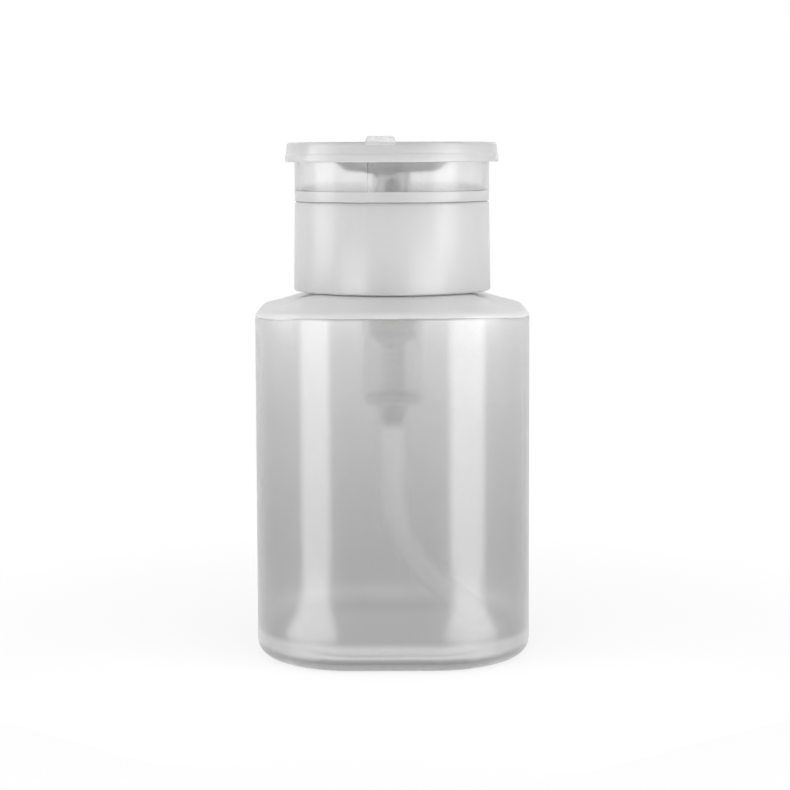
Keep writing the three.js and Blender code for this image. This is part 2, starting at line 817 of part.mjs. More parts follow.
// Flip lid: a shallow cap with a sealing plug, a thumb tab in front and a knuckle behind
function flipLid() {
  const plugBottom = dishInside + seatGap + nozzleHeight + seatGap;
  const side = lidRadius - lidBead;
  const shell = turned([
    [0, lidInside],
    [plugRadius - plugWall, lidInside],
    [plugRadius - plugWall, plugBottom],
    [plugRadius, plugBottom],
    [plugRadius, lidInside],
    [lidBore, lidInside],
    [lidBore, lidEdge],
    [lidRadius, lidEdge],
    [lidRadius, lidEdge + lidBeadHeight - lidBead],
    [side, lidEdge + lidBeadHeight],
    [side - lidBead / 2, lidTop - lidRound],
    [side - lidRound, lidTop],
    [0, lidTop],
  ], closureSides);
  const notchWidth = 2 * (barrelLength / 2 + slideGap + earWidth + notchPlay);
  const notchFrom = lidBore * Math.cos(Math.asin(notchWidth / 2 / lidBore)) - overrun;
  const notch = box(
    notchWidth, lidRadius + overrun - notchFrom, lidDepth + overrun,
    0, (lidRadius + overrun + notchFrom) / 2, lidInside - (lidDepth + overrun) / 2,
  );
  const tabShape = new THREE.Shape([
    [-tabWidth / 2, lidTop], [-tabTop / 2, lidTop + tabHeight],
    [tabTop / 2, lidTop + tabHeight], [tabWidth / 2, lidTop],
    [tabWidth / 2, lidTop - lidThickness / 2], [-tabWidth / 2, lidTop - lidThickness / 2],
  ].map(([x, z]) => new THREE.Vector2(x, z)));
  const tab = new THREE.ExtrudeGeometry(tabShape, { depth: tabDepth, bevelEnabled: false })
    .rotateX(Math.PI / 2)
    .translate(0, tabDepth - lidRadius - tabProud, 0);
  const armInner = lidBore + slideGap;
  const arm = sidePlate([
    [armInner, hingeHeight],
    ...roundEnd(-Math.PI * (3 / 4), 0),
    [hingeReach + barrelRadius / 2, hingeHeight + barrelRadius],
    [hingeReach, lidInside],
    [hingeReach, lidTop - lidRound],
    [hingeReach - lidRound, lidTop],
    [armInner, lidTop],
  ], barrelLength, 0);
  const pinHole = rod(pinBore, barrelLength + overrun * 2, holeSides)
    .rotateZ(Math.PI / 2)
    .translate(0, hingeReach, hingeHeight);
  const lid = fromSolid(toSolid(shell).subtract(toSolid(notch)));
  return combine(lid, { joined: [tab, arm], cut: [pinHole] });
}

// The scene graph
const creaseAngle = THREE.MathUtils.degToRad(30);

function piece(name, geometry, material) {
  const mesh = new THREE.Mesh(toCreasedNormals(tidy(geometry), creaseAngle), material);
  mesh.name = name;
  return mesh;
}

const closure = new THREE.Group();
closure.rotation.z = closureTurn;
closure.add(
  piece('top_ring', topRing(), frostedClosure),
  piece('flip_lid', flipLid(), frostedClosure),
  piece('hinge_pin', hingePin(), frostedClosure),
  piece('press_dish', pressDish(), frostedClosure),
  piece('nozzle_insert', nozzleInsert(), paleSeal),
);

const pump = new THREE.Group();
pump.add(
  piece('bottle', bottle(), frostedBottle),
  piece('neck_gasket', neckGasket(), paleSeal),
  piece('screw_collar', screwCollar(), frostedClosure),
  piece('pump_housing', pumpHousing(), frostedClosure),
  piece('lock_sleeve', lockSleeve(), frostedClosure),
  piece('ball_cage', ballCage(), paleSeal),
  piece('inlet_ball', inletBall(), steel),
  piece('return_spring', returnSpring(), steel),
  piece('stem', stem(), frostedClosure),
  piece('piston', piston(), paleSeal),
  piece('stem_foot', stemFoot(), paleSeal),
  piece('outlet_ball', outletBall(), steel),
  piece('dip_tube', dipTube(), clearTube),
  closure,
);

console.log(`return_spring least gap to itself ${springLeastGap().toFixed(3)} mm`);

export default pump;
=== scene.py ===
"""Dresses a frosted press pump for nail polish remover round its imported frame.

The file is laid out as an add-on. Property groups hold the sizes and finishes, one operator makes
each piece or group of like pieces, and a panel in the sidebar lists them. Run as a script, it makes
them all in order. Lengths are metres, +Z is up and -Y is the front.
"""

import math

import bmesh
import bpy
from bpy.props import FloatProperty, FloatVectorProperty, PointerProperty
from mathutils import Matrix, Vector


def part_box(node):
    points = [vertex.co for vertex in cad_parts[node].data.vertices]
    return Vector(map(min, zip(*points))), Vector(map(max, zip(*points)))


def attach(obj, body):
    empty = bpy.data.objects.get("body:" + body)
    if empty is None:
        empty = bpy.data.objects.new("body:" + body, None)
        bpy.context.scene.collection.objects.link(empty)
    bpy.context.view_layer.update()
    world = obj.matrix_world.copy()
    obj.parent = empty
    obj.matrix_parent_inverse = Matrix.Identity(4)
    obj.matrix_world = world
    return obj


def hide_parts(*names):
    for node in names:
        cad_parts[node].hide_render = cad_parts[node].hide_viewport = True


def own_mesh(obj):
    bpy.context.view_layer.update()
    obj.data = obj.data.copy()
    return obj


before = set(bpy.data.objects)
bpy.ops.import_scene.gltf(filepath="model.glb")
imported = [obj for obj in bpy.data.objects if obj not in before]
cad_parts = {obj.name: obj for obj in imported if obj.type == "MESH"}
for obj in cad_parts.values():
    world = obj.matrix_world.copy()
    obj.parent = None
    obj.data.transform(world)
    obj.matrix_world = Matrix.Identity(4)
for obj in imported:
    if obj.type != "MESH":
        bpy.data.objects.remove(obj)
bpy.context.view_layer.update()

bl_info = {
    "name": "Frosted Press Pump",
    "version": (1, 0, 0),
    "blender": (4, 5, 0),
    "location": "3D View > Sidebar > Press Pump",
    "description": "Makes the pieces of a frosted press pump with a flip lid, and a plain studio",
    "category": "Object",
}

MM = 0.001
WELD = 1e-7                 # points closer than this are one point
CREASE = math.radians(32)   # sharper edges stay crisp
ARC_STEP = math.radians(15)
SIDE_SHARE = 0.48           # of a straight side that one rounded corner takes at most
BEVEL_STEPS = 3
ROUND_PROFILE = 0.5

# Sides of round pieces
ROUND_SIDES = 128
MIDDLE_SIDES = 96
SMALL_SIDES = 64
BAR_SIDES = 48
VENT_SIDES = 32
OUTLET_SIDES = 24

# Roundings, from the smallest
SLIGHT_ROUND = 0.1 * MM
TINY_ROUND = 0.12 * MM
FINE_ROUND = 0.15 * MM
SMALL_ROUND = 0.2 * MM
RIM_ROUND = 0.25 * MM
EDGE_ROUND = 0.3 * MM
ROOT_ROUND = 0.4 * MM
WIDE_ROUND = 0.5 * MM

# Gaps between pieces, and how far a cutting piece stands past what it cuts
PUMP_GAP = 0.2 * MM
SLIDE_GAP = 0.3 * MM
LID_GAP = 0.3 * MM
KEY_GAP = 0.4 * MM
CUT_OVER = 1.0 * MM


def top(node):
    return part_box(node)[1].z


def foot(node):
    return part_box(node)[0].z


def reach(node):
    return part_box(node)[1].x


# Properties


def length(name, description, default):
    return FloatProperty(
        name=name, description=description, default=default, min=0, precision=5, unit="LENGTH"
    )


def share(name, description, default):
    return FloatProperty(
        name=name, description=description, default=default, min=0, max=1, subtype="FACTOR"
    )


def turn(name, description, default):
    return FloatProperty(
        name=name, description=description, default=math.radians(default), subtype="ANGLE"
    )


def tint(name, description, default):
    return FloatVectorProperty(
        name=name, description=description, default=default, min=0, max=1, size=3, subtype="COLOR"
    )


class BottleSizes(bpy.types.PropertyGroup):
    half_width: length("Half width", "Half the width of the square plan", reach("bottle"))
    corner: length("Corner", "Radius of the plan's corners", 18.6 * MM)
    wall: length("Wall", "Thickness of the blown wall", 1.0 * MM)
    heel: length("Heel", "Radius between the side and the base", 2.8 * MM)
    edge: length("Shoulder edge", "Radius between the side and the shoulder", 1.6 * MM)
    crown: length("Crown", "How much higher the shoulder's edge is at the front and back", 0.7 * MM)
    swell: length("Swell", "How far the shoulder rises over the neck's foot there", 0.62 * MM)
    bulge: length("Bulge", "How far that rise stands over a straight slope", 1.07 * MM)
    slope: turn("Shoulder slope", "Slope of the shoulder", 14)
    land: length("Land", "Width of the flat standing face", 3.4 * MM)
    recess_slope: length("Recess slope", "Width of the slope into the base's recess", 2.4 * MM)
    recess: length("Recess", "Depth of the recess in the base", 0.5 * MM)
    neck_radius: length("Neck radius", "Radius of the neck without its thread", 14.8 * MM)
    neck_wall: length("Neck wall", "Thickness of the neck", 2.0 * MM)
    neck_height: length("Neck height", "Height of the neck above the shoulder", 15.2 * MM)
    neck_fillet: length("Neck fillet", "Radius between the shoulder and the neck", 1.0 * MM)
    lip_round: length("Lip round", "Radius on the neck's lip", 0.35 * MM)
    seam_height: length("Seam height", "How far the parting line stands out", 0.05 * MM)


class ThreadSizes(bpy.types.PropertyGroup):
    pitch: length("Pitch", "Rise of the thread in one turn", 4.23 * MM)
    depth: length("Depth", "Height of a ridge above its wall", 1.2 * MM)
    play: length("Play", "Radial play between a crest and the wall it faces", 0.35 * MM)
    root: length("Root", "Width of a ridge where it leaves the wall", 2.3 * MM)
    crest: length("Crest", "Width of a ridge at its crest", 1.0 * MM)
    start: length("Start", "Height of the first turn above the shoulder", 4.6 * MM)


class ClosureSizes(bpy.types.PropertyGroup):
    turned: turn("Turn", "How far the closure is turned on the neck", -6)
    collar_radius: length("Collar radius", "Radius of the screw collar at its top", 19.0 * MM)
    collar_wall: length("Collar wall", "Thickness of the collar", 2.65 * MM)
    collar_web: length("Collar web", "Thickness of the collar's top", 1.0 * MM)
    ring_wall: length("Ring wall", "Thickness of the guide ring", 1.2 * MM)
    seam: length("Seam", "Open seam between the collar and the guide ring", 0.1 * MM)
    deck: length("Deck", "Thickness of the deck inside the guide ring", 1.0 * MM)
    key_width: length("Key width", "Width of the guide key at the front", 5.4 * MM)
    key_depth: length("Key depth", "How far the key stands into the ring", 1.1 * MM)
    key_drop: length("Key drop", "How far the key ends below the rim", 0.8 * MM)
    bowl_floor: length("Bowl floor", "Radius of the flat floor of the dish", 8.3 * MM)
    bowl_rim: length("Bowl rim", "Radius of the dish's hollow at its rim", 11.4 * MM)
    bowl_depth: length("Bowl depth", "Depth of the dish", 2.2 * MM)
    boss_radius: length("Boss radius", "Radius of the boss under the dish", 3.75 * MM)
    lid_wall: length("Lid wall", "Thickness of the lid's skirt", 1.5 * MM)
    lid_thickness: length("Lid thickness", "Thickness of the lid's top", 1.2 * MM)
    lid_depth: length("Lid depth", "Depth of the lid under its top", 2.6 * MM)
    tab_width: length("Tab width", "Width of the thumb tab at its root", 5.5 * MM)
    tab_top: length("Tab top", "Width of the thumb tab at its top", 4.7 * MM)
    tab_height: length("Tab height", "Height of the thumb tab", 1.0 * MM)
    hinge_offset: length("Hinge offset", "How far the pin lies behind the lid's side", 0.8 * MM)
    barrel_length: length("Barrel length", "Width of the lid's knuckle", 3.8 * MM)
    ear_width: length("Ear width", "Width of each ear of the hinge", 2.2 * MM)


class PumpSizes(bpy.types.PropertyGroup):
    chamber_radius: length("Chamber radius", "Radius of the pump's bore", 4.9 * MM)
    chamber_wall: length("Chamber wall", "Thickness of the chamber's wall", 1.0 * MM)
    ball_radius: length("Inlet ball", "Radius of the lower ball", 2.0 * MM)
    spring_radius: length("Spring radius", "Radius to the middle of the wire", 2.45 * MM)
    wire_radius: length("Wire radius", "Radius of the spring's wire", 0.3 * MM)
    stem_radius: length("Stem radius", "Outer radius of the stem", 2.55 * MM)
    stem_bore: length("Stem bore", "Radius of the stem's bore", 1.3 * MM)
    stroke: length("Stroke", "Travel of the dish", 3.2 * MM)
    tube_radius: length("Tube radius", "Outer radius of the dip tube", 2.575 * MM)
    tube_wall: length("Tube wall", "Thickness of the dip tube", 0.45 * MM)
    tube_angle: turn("Tube angle", "Angle that the dip tube bends through", 50)
    tube_straight: share("Tube straight", "Straight start of the tube, of its drop", 0.31)
    tube_bend: share("Tube bend", "Bend radius of the tube, of its drop", 0.65)


class FinishSettings(bpy.types.PropertyGroup):
    bottle_color: tint("Bottle", "Colour of the blown bottle at its neck", (0.93, 0.93, 0.93))
    # Painted shade: the wall's colour darkens from under the shoulder down to the base.
    bottle_high_painted_shade: tint("Bottle high", "Colour of the side under the shoulder", (0.83, 0.83, 0.83))
    bottle_middle_painted_shade: tint("Bottle middle", "Colour of the bottle half way up", (0.70, 0.70, 0.70))
    bottle_low_painted_shade: tint("Bottle low", "Colour of the bottle above its base", (0.56, 0.56, 0.56))
    shoulder_color: tint("Clouded shoulder", "Colour of the clouded shoulder", (0.85, 0.85, 0.85))
    # Painted light: a lighter band just above the heel, where the bottle's floor shows through.
    base_painted_light: tint("Bottle base", "Colour of the band above the heel", (0.84, 0.84, 0.84))
    # Painted shade: a dark band at the heel, where the heel turns under.
    heel_painted_shade: tint("Bottle heel", "Colour of the bottle's heel", (0.43, 0.43, 0.43))
    plate_color: tint("Bottle plate", "Colour of the bottle's floor", (0.92, 0.92, 0.92))
    barrel_color: tint("Barrel", "Colour of the pump's chamber", (0.98, 0.98, 0.98))
    bottle_roughness: share("Bottle roughness", "Roughness of the blown bottle", 0.20)
    collar_color: tint("Collar", "Colour of the screw collar", (0.81, 0.81, 0.81))
    lid_color: tint("Lid", "Colour of the lid", (0.99, 0.99, 0.99))
    ring_color: tint("Guide ring", "Colour of the guide ring", (0.99, 0.99, 0.99))
    dish_color: tint("Dish", "Colour of the dish", (0.99, 0.99, 0.99))
    pump_color: tint("Pump", "Colour of the stem and its sleeve", (0.92, 0.92, 0.92))
    tube_color: tint("Tube", "Colour of the dip tube", (1.0, 1.0, 1.0))
    seal_color: tint("Seals", "Colour of the soft seals", (0.93, 0.93, 0.92))
    steel_color: tint("Steel", "Colour of the spring and the balls", (0.42, 0.425, 0.43))


class StageSettings(bpy.types.PropertyGroup):
    camera_distance: length("Camera distance", "From the neck's axis", 380 * MM)
    camera_height: length("Camera height", "Above the floor", 96 * MM)
    camera_side: length("Camera side", "To the right of the neck's axis", 0.52 * MM)
    camera_tilt: turn("Camera tilt", "How far the camera looks down", 4.72)
    camera_roll: turn("Camera roll", "How far the camera leans to the right", -0.2)
    camera_lens: FloatProperty(
        name="Lens", description="Focal length in millimetres", default=88.4, min=1
    )
    floor_size: length("Floor size", "Width of the floor", 3.0)
    shade_reach: length("Shade reach", "How far from the bottle the floor shows shade", 160 * MM)
    sky: share("Sky", "Strength of the even light from all round", 0.68)
    panel_light: FloatProperty(
        name="Panel light", description="Brightness of the high panels, 1 is white", default=2.0
    )
    low_light: FloatProperty(
        name="Low light", description="Brightness of the low panels, 1 is white", default=2.65
    )
    low_left: turn("Low left direction", "From the view axis to the low left panel", 39.5)
    low_right: turn("Low right direction", "From the view axis to the low right panel", 37)
    low_away: length("Low panel distance", "From the neck's axis to the low panels", 85 * MM)
    low_left_width: length("Left low width", "Width of the low left panel", 42 * MM)
    low_right_width: length("Right low width", "Width of the low right panel", 52 * MM)
    low_height: length("Low panel height", "Height of the low panels", 73 * MM)
    card_light: FloatProperty(
        name="Card light", description="Brightness of the cards, 1 is white", default=2.5
    )
    card_width: length("Card width", "Width of the cards on the floor", 30 * MM)
    card_near: length("Card gap", "From the neck's axis to the cards on the floor", 40 * MM)
    high_left: turn("Left panel direction", "From the view axis to the high left panel", 80)
    high_right: turn("Right panel direction", "From the view axis to the high right panel", 61.5)
    high_away: length("High panel distance", "From the neck's axis to the high panels", 115 * MM)
    high_width: length("High panel width", "Width of the high panels", 58 * MM)
    high_height: length("High panel height", "Height of the high panels", 110 * MM)
    high_foot: length("High panel foot", "Height of the high panels' lower edge", 66 * MM)


class PressPumpSettings(bpy.types.PropertyGroup):
    bottle: PointerProperty(type=BottleSizes, name="Bottle", description="Sizes of the bottle")
    thread: PointerProperty(type=ThreadSizes, name="Thread", description="Sizes of the thread")
    closure: PointerProperty(type=ClosureSizes, name="Closure", description="Sizes of the closure")
    pump: PointerProperty(type=PumpSizes, name="Pump", description="Sizes of the pump")
    finish: PointerProperty(type=FinishSettings, name="Finish", description="Colours and gloss")
    stage: PointerProperty(type=StageSettings, name="Stage", description="Camera and light")


def settings():
    return bpy.context.scene.press_pump


# Outlines


def arc_points(centre, start, sweep):
    """Points on an arc about centre, from the arm start through the signed angle sweep."""
    steps = max(2, math.ceil(abs(sweep) / ARC_STEP))
    spin = [Matrix.Rotation(sweep * k / steps, 2) for k in range(steps + 1)]
    return [centre + m @ start for m in spin]


def soften(outline, closed=True):
    """Rounds the corners of an outline of (x, y) or (x, y, radius) and returns its points."""
    corners = [Vector(c[:2]) for c in outline]
    last = len(corners) - 1
    points = []
    for k, corner in enumerate(outline):
        here = corners[k]
        radius = corner[2] if len(corner) > 2 else 0
        if radius == 0 or (not closed and k in (0, last)):
            points.append(here)
            continue
        back = corners[k - 1] - here
        ahead = corners[(k + 1) % len(corners)] - here
        half = back.angle(ahead) / 2
        step = min(radius / math.tan(half), SIDE_SHARE * back.length, SIDE_SHARE * ahead.length)
        radius = step * math.tan(half)
        middle = (back.normalized() + ahead.normalized()).normalized()
        centre = here + middle * (radius / math.sin(half))
        start = here + back.normalized() * step - centre
        end = here + ahead.normalized() * step - centre
        sweep = math.atan2(start.cross(end), start.dot(end))
        points += arc_points(centre, start, sweep)
    return points


# Meshes


def new_piece(name, bm):
    bmesh.ops.remove_doubles(bm, verts=bm.verts, dist=WELD)
    bmesh.ops.recalc_face_normals(bm, faces=bm.faces)
    mesh = bpy.data.meshes.new(name)
    bm.to_mesh(mesh)
    bm.free()
    piece = bpy.data.objects.new(name, mesh)
    bpy.context.scene.collection.objects.link(piece)
    return piece


def loft(name, rings, closed=False):
    """Skins a row of rings with equal numbers of points. A ring of one point is a pole."""
    bm = bmesh.new()
    rows = [[bm.verts.new(point) for point in ring] for ring in rings]
    following = rows[1:] + ([rows[0]] if closed else [])
    for low, high in zip(rows, following):
        for k in range(max(len(low), len(high))):
            corners = [
                low[k % len(low)],
                low[(k + 1) % len(low)],
                high[(k + 1) % len(high)],
                high[k % len(high)],
            ]
            bm.faces.new(list(dict.fromkeys(corners)))
    return new_piece(name, bm)


def wound(name, rings):
    """Skins a row of rings and closes each end with a point in its middle."""
    first, last = ([sum(ring, Vector()) / len(ring)] for ring in (rings[0], rings[-1]))
    return loft(name, [first, *rings, last])


def circle(radius, height, sides):
    if radius < WELD:
        return [Vector((0, 0, height))]
    angles = [2 * math.pi * k / sides for k in range(sides)]
    return [Vector((radius * math.cos(a), radius * math.sin(a), height)) for a in angles]


def turned(name, outline, sides=ROUND_SIDES):
    """Turns an outline of (radius, height, round) about Z. It closes on itself or on the axis."""
    closed = outline[0][0] > 0
    profile = soften(outline, closed)
    return loft(name, [circle(p.x, p.y, sides) for p in profile], closed)


def rounded(bm, edges, soft):
    """Rounds edges of a mesh in the making."""
    bmesh.ops.bevel(
        bm, geom=edges, offset=soft, segments=BEVEL_STEPS, profile=ROUND_PROFILE, affect="EDGES"
    )


def plate(name, outline, low, high, soft=0.0):
    """Extrudes an outline of (y, z) along X, from low to high, and rounds its rims by soft."""
    bm = bmesh.new()
    face = bm.faces.new([bm.verts.new((low, p.x, p.y)) for p in soften(outline)])
    grown = bmesh.ops.extrude_face_region(bm, geom=[face])["geom"]
    moved = [v for v in grown if isinstance(v, bmesh.types.BMVert)]
    bmesh.ops.translate(bm, verts=moved, vec=(high - low, 0, 0))
    if soft:
        rims = [e for e in bm.edges if abs(e.verts[0].co.x - e.verts[1].co.x) < WELD]
        rounded(bm, rims, soft)
    return new_piece(name, bm)


def block(name, low, high, soft=0.0):
    """A box between two corners, with its edges rounded by soft."""
    bm = bmesh.new()
    size = Vector(high) - Vector(low)
    middle = (Vector(high) + Vector(low)) / 2
    place = Matrix.Translation(middle) @ Matrix.Diagonal((*size, 1))
    bmesh.ops.create_cube(bm, size=1, matrix=place)
    if soft:
        rounded(bm, list(bm.edges), soft)
    return new_piece(name, bm)


def arc_rib(name, radii, half_angle, heights):
    """A rib at the front that follows a round wall, between two radii and two heights."""
    steps = 12
    rows = []
    for k in range(steps + 1):
        angle = -math.pi / 2 + half_angle * (2 * k / steps - 1)
        arm = Vector((math.cos(angle), math.sin(angle), 0))
        rows.append([
            arm * radii[side] + Vector((0, 0, heights[up]))
            for side, up in ((0, 0), (1, 0), (1, 1), (0, 1))
        ])
    bm = bmesh.new()
    grid = [[bm.verts.new(point) for point in row] for row in rows]
    for low, high in zip(grid, grid[1:]):
        for k in range(len(low)):
            bm.faces.new((low[k - 1], low[k], high[k], high[k - 1]))
    bm.faces.new(grid[0])
    bm.faces.new(grid[-1])
    return new_piece(name, bm)


def rod(name, radius, low, high, sides=BAR_SIDES):
    """A round bar along X at Y 0 and Z 0, used to cut holes."""
    rings = [circle(r, x, sides) for r, x in ((0, low), (radius, low), (radius, high), (0, high))]
    piece = loft(name, rings)
    piece.data.transform(Matrix.Rotation(math.pi / 2, 4, "Y"))
    return piece


def moved(piece, matrix):
    piece.data.transform(matrix)
    return piece


def combine(base, parts, operation):
    """Joins parts to base, or cuts them out of it, and removes them."""
    for part in parts:
        change = base.modifiers.new("combine", "BOOLEAN")
        change.object = part
        change.operation = operation
        change.solver = "EXACT"
        graph = bpy.context.evaluated_depsgraph_get()
        shape = bpy.data.meshes.new_from_object(base.evaluated_get(graph))
        base.modifiers.clear()
        base.data = shape
        bpy.data.objects.remove(part)
    return base


def joined(base, *parts):
    return combine(base, parts, "UNION")


def cut(base, *parts):
    return combine(base, parts, "DIFFERENCE")


def smoothed(piece):
    """Shades a piece smooth, and keeps the edges that turn by more than the crease angle."""
    bm = bmesh.new()
    bm.from_mesh(piece.data)
    bmesh.ops.remove_doubles(bm, verts=bm.verts, dist=WELD)
    for face in bm.faces:
        face.smooth = True
    for edge in bm.edges:
        edge.smooth = edge.calc_face_angle(0) < CREASE
    bm.to_mesh(piece.data)
    bm.free()
    return piece


def fitted(piece, body, node, material):
    """Finishes a piece that stands for a CAD node and moves with its body."""
    smoothed(piece)
    piece.data.materials.clear()
    piece.data.materials.append(material)
    for face in piece.data.polygons:
        face.material_index = 0
    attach(piece, body)
    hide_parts(node)
    return piece


def as_closure(piece):
    """Turns a piece on the neck as the closure is turned."""
    return moved(piece, Matrix.Rotation(settings().closure.turned, 4, "Z"))


# Shader node groups


GRAIN_SIZE = 0.25 * MM
CLOUD_SIZE = 9 * MM
CLOUD_DEPTH_SHARE = 0.04
LINE_WIDTH = 1.2 * MM
LINE_STRETCH = 30.0
PLAIN_GREY = (0.8, 0.8, 0.8, 1)
WHITE = (1, 1, 1, 1)


def new_group(name, inputs, outputs):
    group = bpy.data.node_groups.new(name, "ShaderNodeTree")
    for label, kind, value in inputs:
        socket = group.interface.new_socket(name=label, in_out="INPUT", socket_type=kind)
        socket.default_value = value
    for label, kind in outputs:
        group.interface.new_socket(name=label, in_out="OUTPUT", socket_type=kind)
    return group, group.nodes.new("NodeGroupInput"), group.nodes.new("NodeGroupOutput")


def math_node(tree, operation, first, second, third=None):
    node = tree.nodes.new("ShaderNodeMath")
    node.operation = operation
    for k, value in enumerate((first, second, third)):
        if isinstance(value, bpy.types.NodeSocket):
            tree.links.new(value, node.inputs[k])
        elif value is not None:
            node.inputs[k].default_value = value
    return node.outputs[0]


def noise(tree, place, size, detail=2.0, rough=0.5):
    """Noise whose patches are about size wide, where size is a socket in metres."""
    node = tree.nodes.new("ShaderNodeTexNoise")
    tree.links.new(place, node.inputs["Vector"])
    tree.links.new(math_node(tree, "DIVIDE", 1.0, size), node.inputs["Scale"])
    node.inputs["Detail"].default_value = detail
    node.inputs["Roughness"].default_value = rough
    return node.outputs["Fac"]


def stretched_place(tree, stretch):
    """Object coordinates drawn out along Z, where stretch is a socket."""
    place = tree.nodes.new("ShaderNodeTexCoord").outputs["Object"]
    scale = tree.nodes.new("ShaderNodeCombineXYZ")
    scale.inputs["X"].default_value = scale.inputs["Y"].default_value = 1
    tree.links.new(math_node(tree, "DIVIDE", 1.0, stretch), scale.inputs["Z"])
    product = tree.nodes.new("ShaderNodeVectorMath")
    product.operation = "MULTIPLY"
    tree.links.new(place, product.inputs[0])
    tree.links.new(scale.outputs[0], product.inputs[1])
    return product.outputs[0]


def moulded_skin():
    """Fine grain of a mould and the soft clouds that plastic shows in depth."""
    name = "Moulded Skin"
    if name in bpy.data.node_groups:
        return bpy.data.node_groups[name]
    group, given, made = new_group(
        name,
        [
            ("Color", "NodeSocketColor", PLAIN_GREY),
            ("Roughness", "NodeSocketFloat", 0.4),
            ("Roughness Swing", "NodeSocketFloat", 0.06),
            ("Grain Size", "NodeSocketFloat", GRAIN_SIZE),
            ("Cloud Size", "NodeSocketFloat", CLOUD_SIZE),
            ("Cloud Depth", "NodeSocketFloat", CLOUD_DEPTH_SHARE),
        ],
        [
            ("Color", "NodeSocketColor"),
            ("Roughness", "NodeSocketFloat"),
            ("Height", "NodeSocketFloat"),
        ],
    )
    place = group.nodes.new("ShaderNodeTexCoord").outputs["Object"]
    grain = noise(group, place, given.outputs["Grain Size"], detail=3.0, rough=0.6)
    cloud = noise(group, place, given.outputs["Cloud Size"])
    shade = math_node(group, "MULTIPLY", cloud, given.outputs["Cloud Depth"])
    level = math_node(group, "SUBTRACT", 1.0, shade)
    product = group.nodes.new("ShaderNodeVectorMath")
    product.operation = "SCALE"
    group.links.new(given.outputs["Color"], product.inputs[0])
    group.links.new(level, product.inputs["Scale"])
    swing = math_node(group, "SUBTRACT", cloud, 0.5)
    rough = math_node(
        group, "MULTIPLY_ADD", swing, given.outputs["Roughness Swing"], given.outputs["Roughness"]
    )
    group.links.new(product.outputs[0], made.inputs["Color"])
    group.links.new(rough, made.inputs["Roughness"])
    group.links.new(grain, made.inputs["Height"])
    return group


def draw_lines():
    """Long faint lines along Z, as drawing, turning or blowing leaves them."""
    name = "Draw Lines"
    if name in bpy.data.node_groups:
        return bpy.data.node_groups[name]
    group, given, made = new_group(
        name,
        [
            ("Width", "NodeSocketFloat", LINE_WIDTH),
            ("Stretch", "NodeSocketFloat", LINE_STRETCH),
        ],
        [("Height", "NodeSocketFloat")],
    )
    place = stretched_place(group, given.outputs["Stretch"])
    lines = noise(group, place, given.outputs["Width"], detail=1.0, rough=0.4)
    group.links.new(lines, made.inputs["Height"])
    return group


def place_group(tree, group, **values):
    node = tree.nodes.new("ShaderNodeGroup")
    node.node_tree = group
    for label, value in values.items():
        node.inputs[label.replace("_", " ")].default_value = value
    return node


# Materials


PLASTIC_IOR = 1.49
SKIN_IOR = 1.6
SKIN_ROUGHNESS = 0.25
BARREL_IOR = 1.2
RING_IOR = 1.36
DISH_IOR = 1.2

# Heights of the fine texture, from a polished mould to a blown wall
POLISHED = 0.001 * MM
GLOSSY = 0.002 * MM
SATIN = 0.003 * MM
MATT = 0.004 * MM
FROSTED = 0.006 * MM
DRAWN = 0.012 * MM
BLOWN = 0.02 * MM

# How far light travels in clouded plastic
THICK_SPREAD = 2.0 * MM
THIN_SPREAD = 1.5 * MM

# The steel's fine texture
STEEL_GRAIN = 0.12 * MM
STEEL_CLOUD = 0.8 * MM


def new_material(name):
    material = bpy.data.materials.new(name)
    material.use_nodes = True
    shader = material.node_tree.nodes["Principled BSDF"]
    return material, material.node_tree, shader


# Painted shade by height: the bottle's wall darkens from the neck down to the base, with a painted
# dark heel and a painted light band above it.
WALL_SHADE_STOPS = (
    # Painted shade: the dark band at the heel.
    ("heel_painted_shade", 0.0),
    ("heel_painted_shade", 0.025),
    # Painted light: the lighter band above the heel.
    ("base_painted_light", 0.035),
    ("base_painted_light", 0.055),
    # Painted shade: darker towards the base.
    ("bottle_low_painted_shade", 0.068),
    ("bottle_low_painted_shade", 0.25),
    ("bottle_middle_painted_shade", 0.55),
    ("bottle_high_painted_shade", 0.72),
    ("bottle_color", 0.79),
)


def painted_wall_shade(tree, look, high):
    """Colour of a blown wall by height, with painted shade: darker towards the base, a painted dark
    band at the heel and a painted light band above it. Each stop is a finish and a share of the
    height high.
    """
    place = tree.nodes.new("ShaderNodeSeparateXYZ")
    tree.links.new(tree.nodes.new("ShaderNodeTexCoord").outputs["Object"], place.inputs[0])
    ramp = tree.nodes.new("ShaderNodeValToRGB")
    tree.links.new(math_node(tree, "DIVIDE", place.outputs["Z"], high), ramp.inputs["Fac"])
    stops = ramp.color_ramp.elements
    while len(stops) < len(WALL_SHADE_STOPS):
        stops.new(0.5)
    for stop, (finish, place_share) in zip(stops, WALL_SHADE_STOPS):
        stop.position = place_share
        stop.color = (*getattr(look, finish), 1)
    return ramp.outputs["Color"]


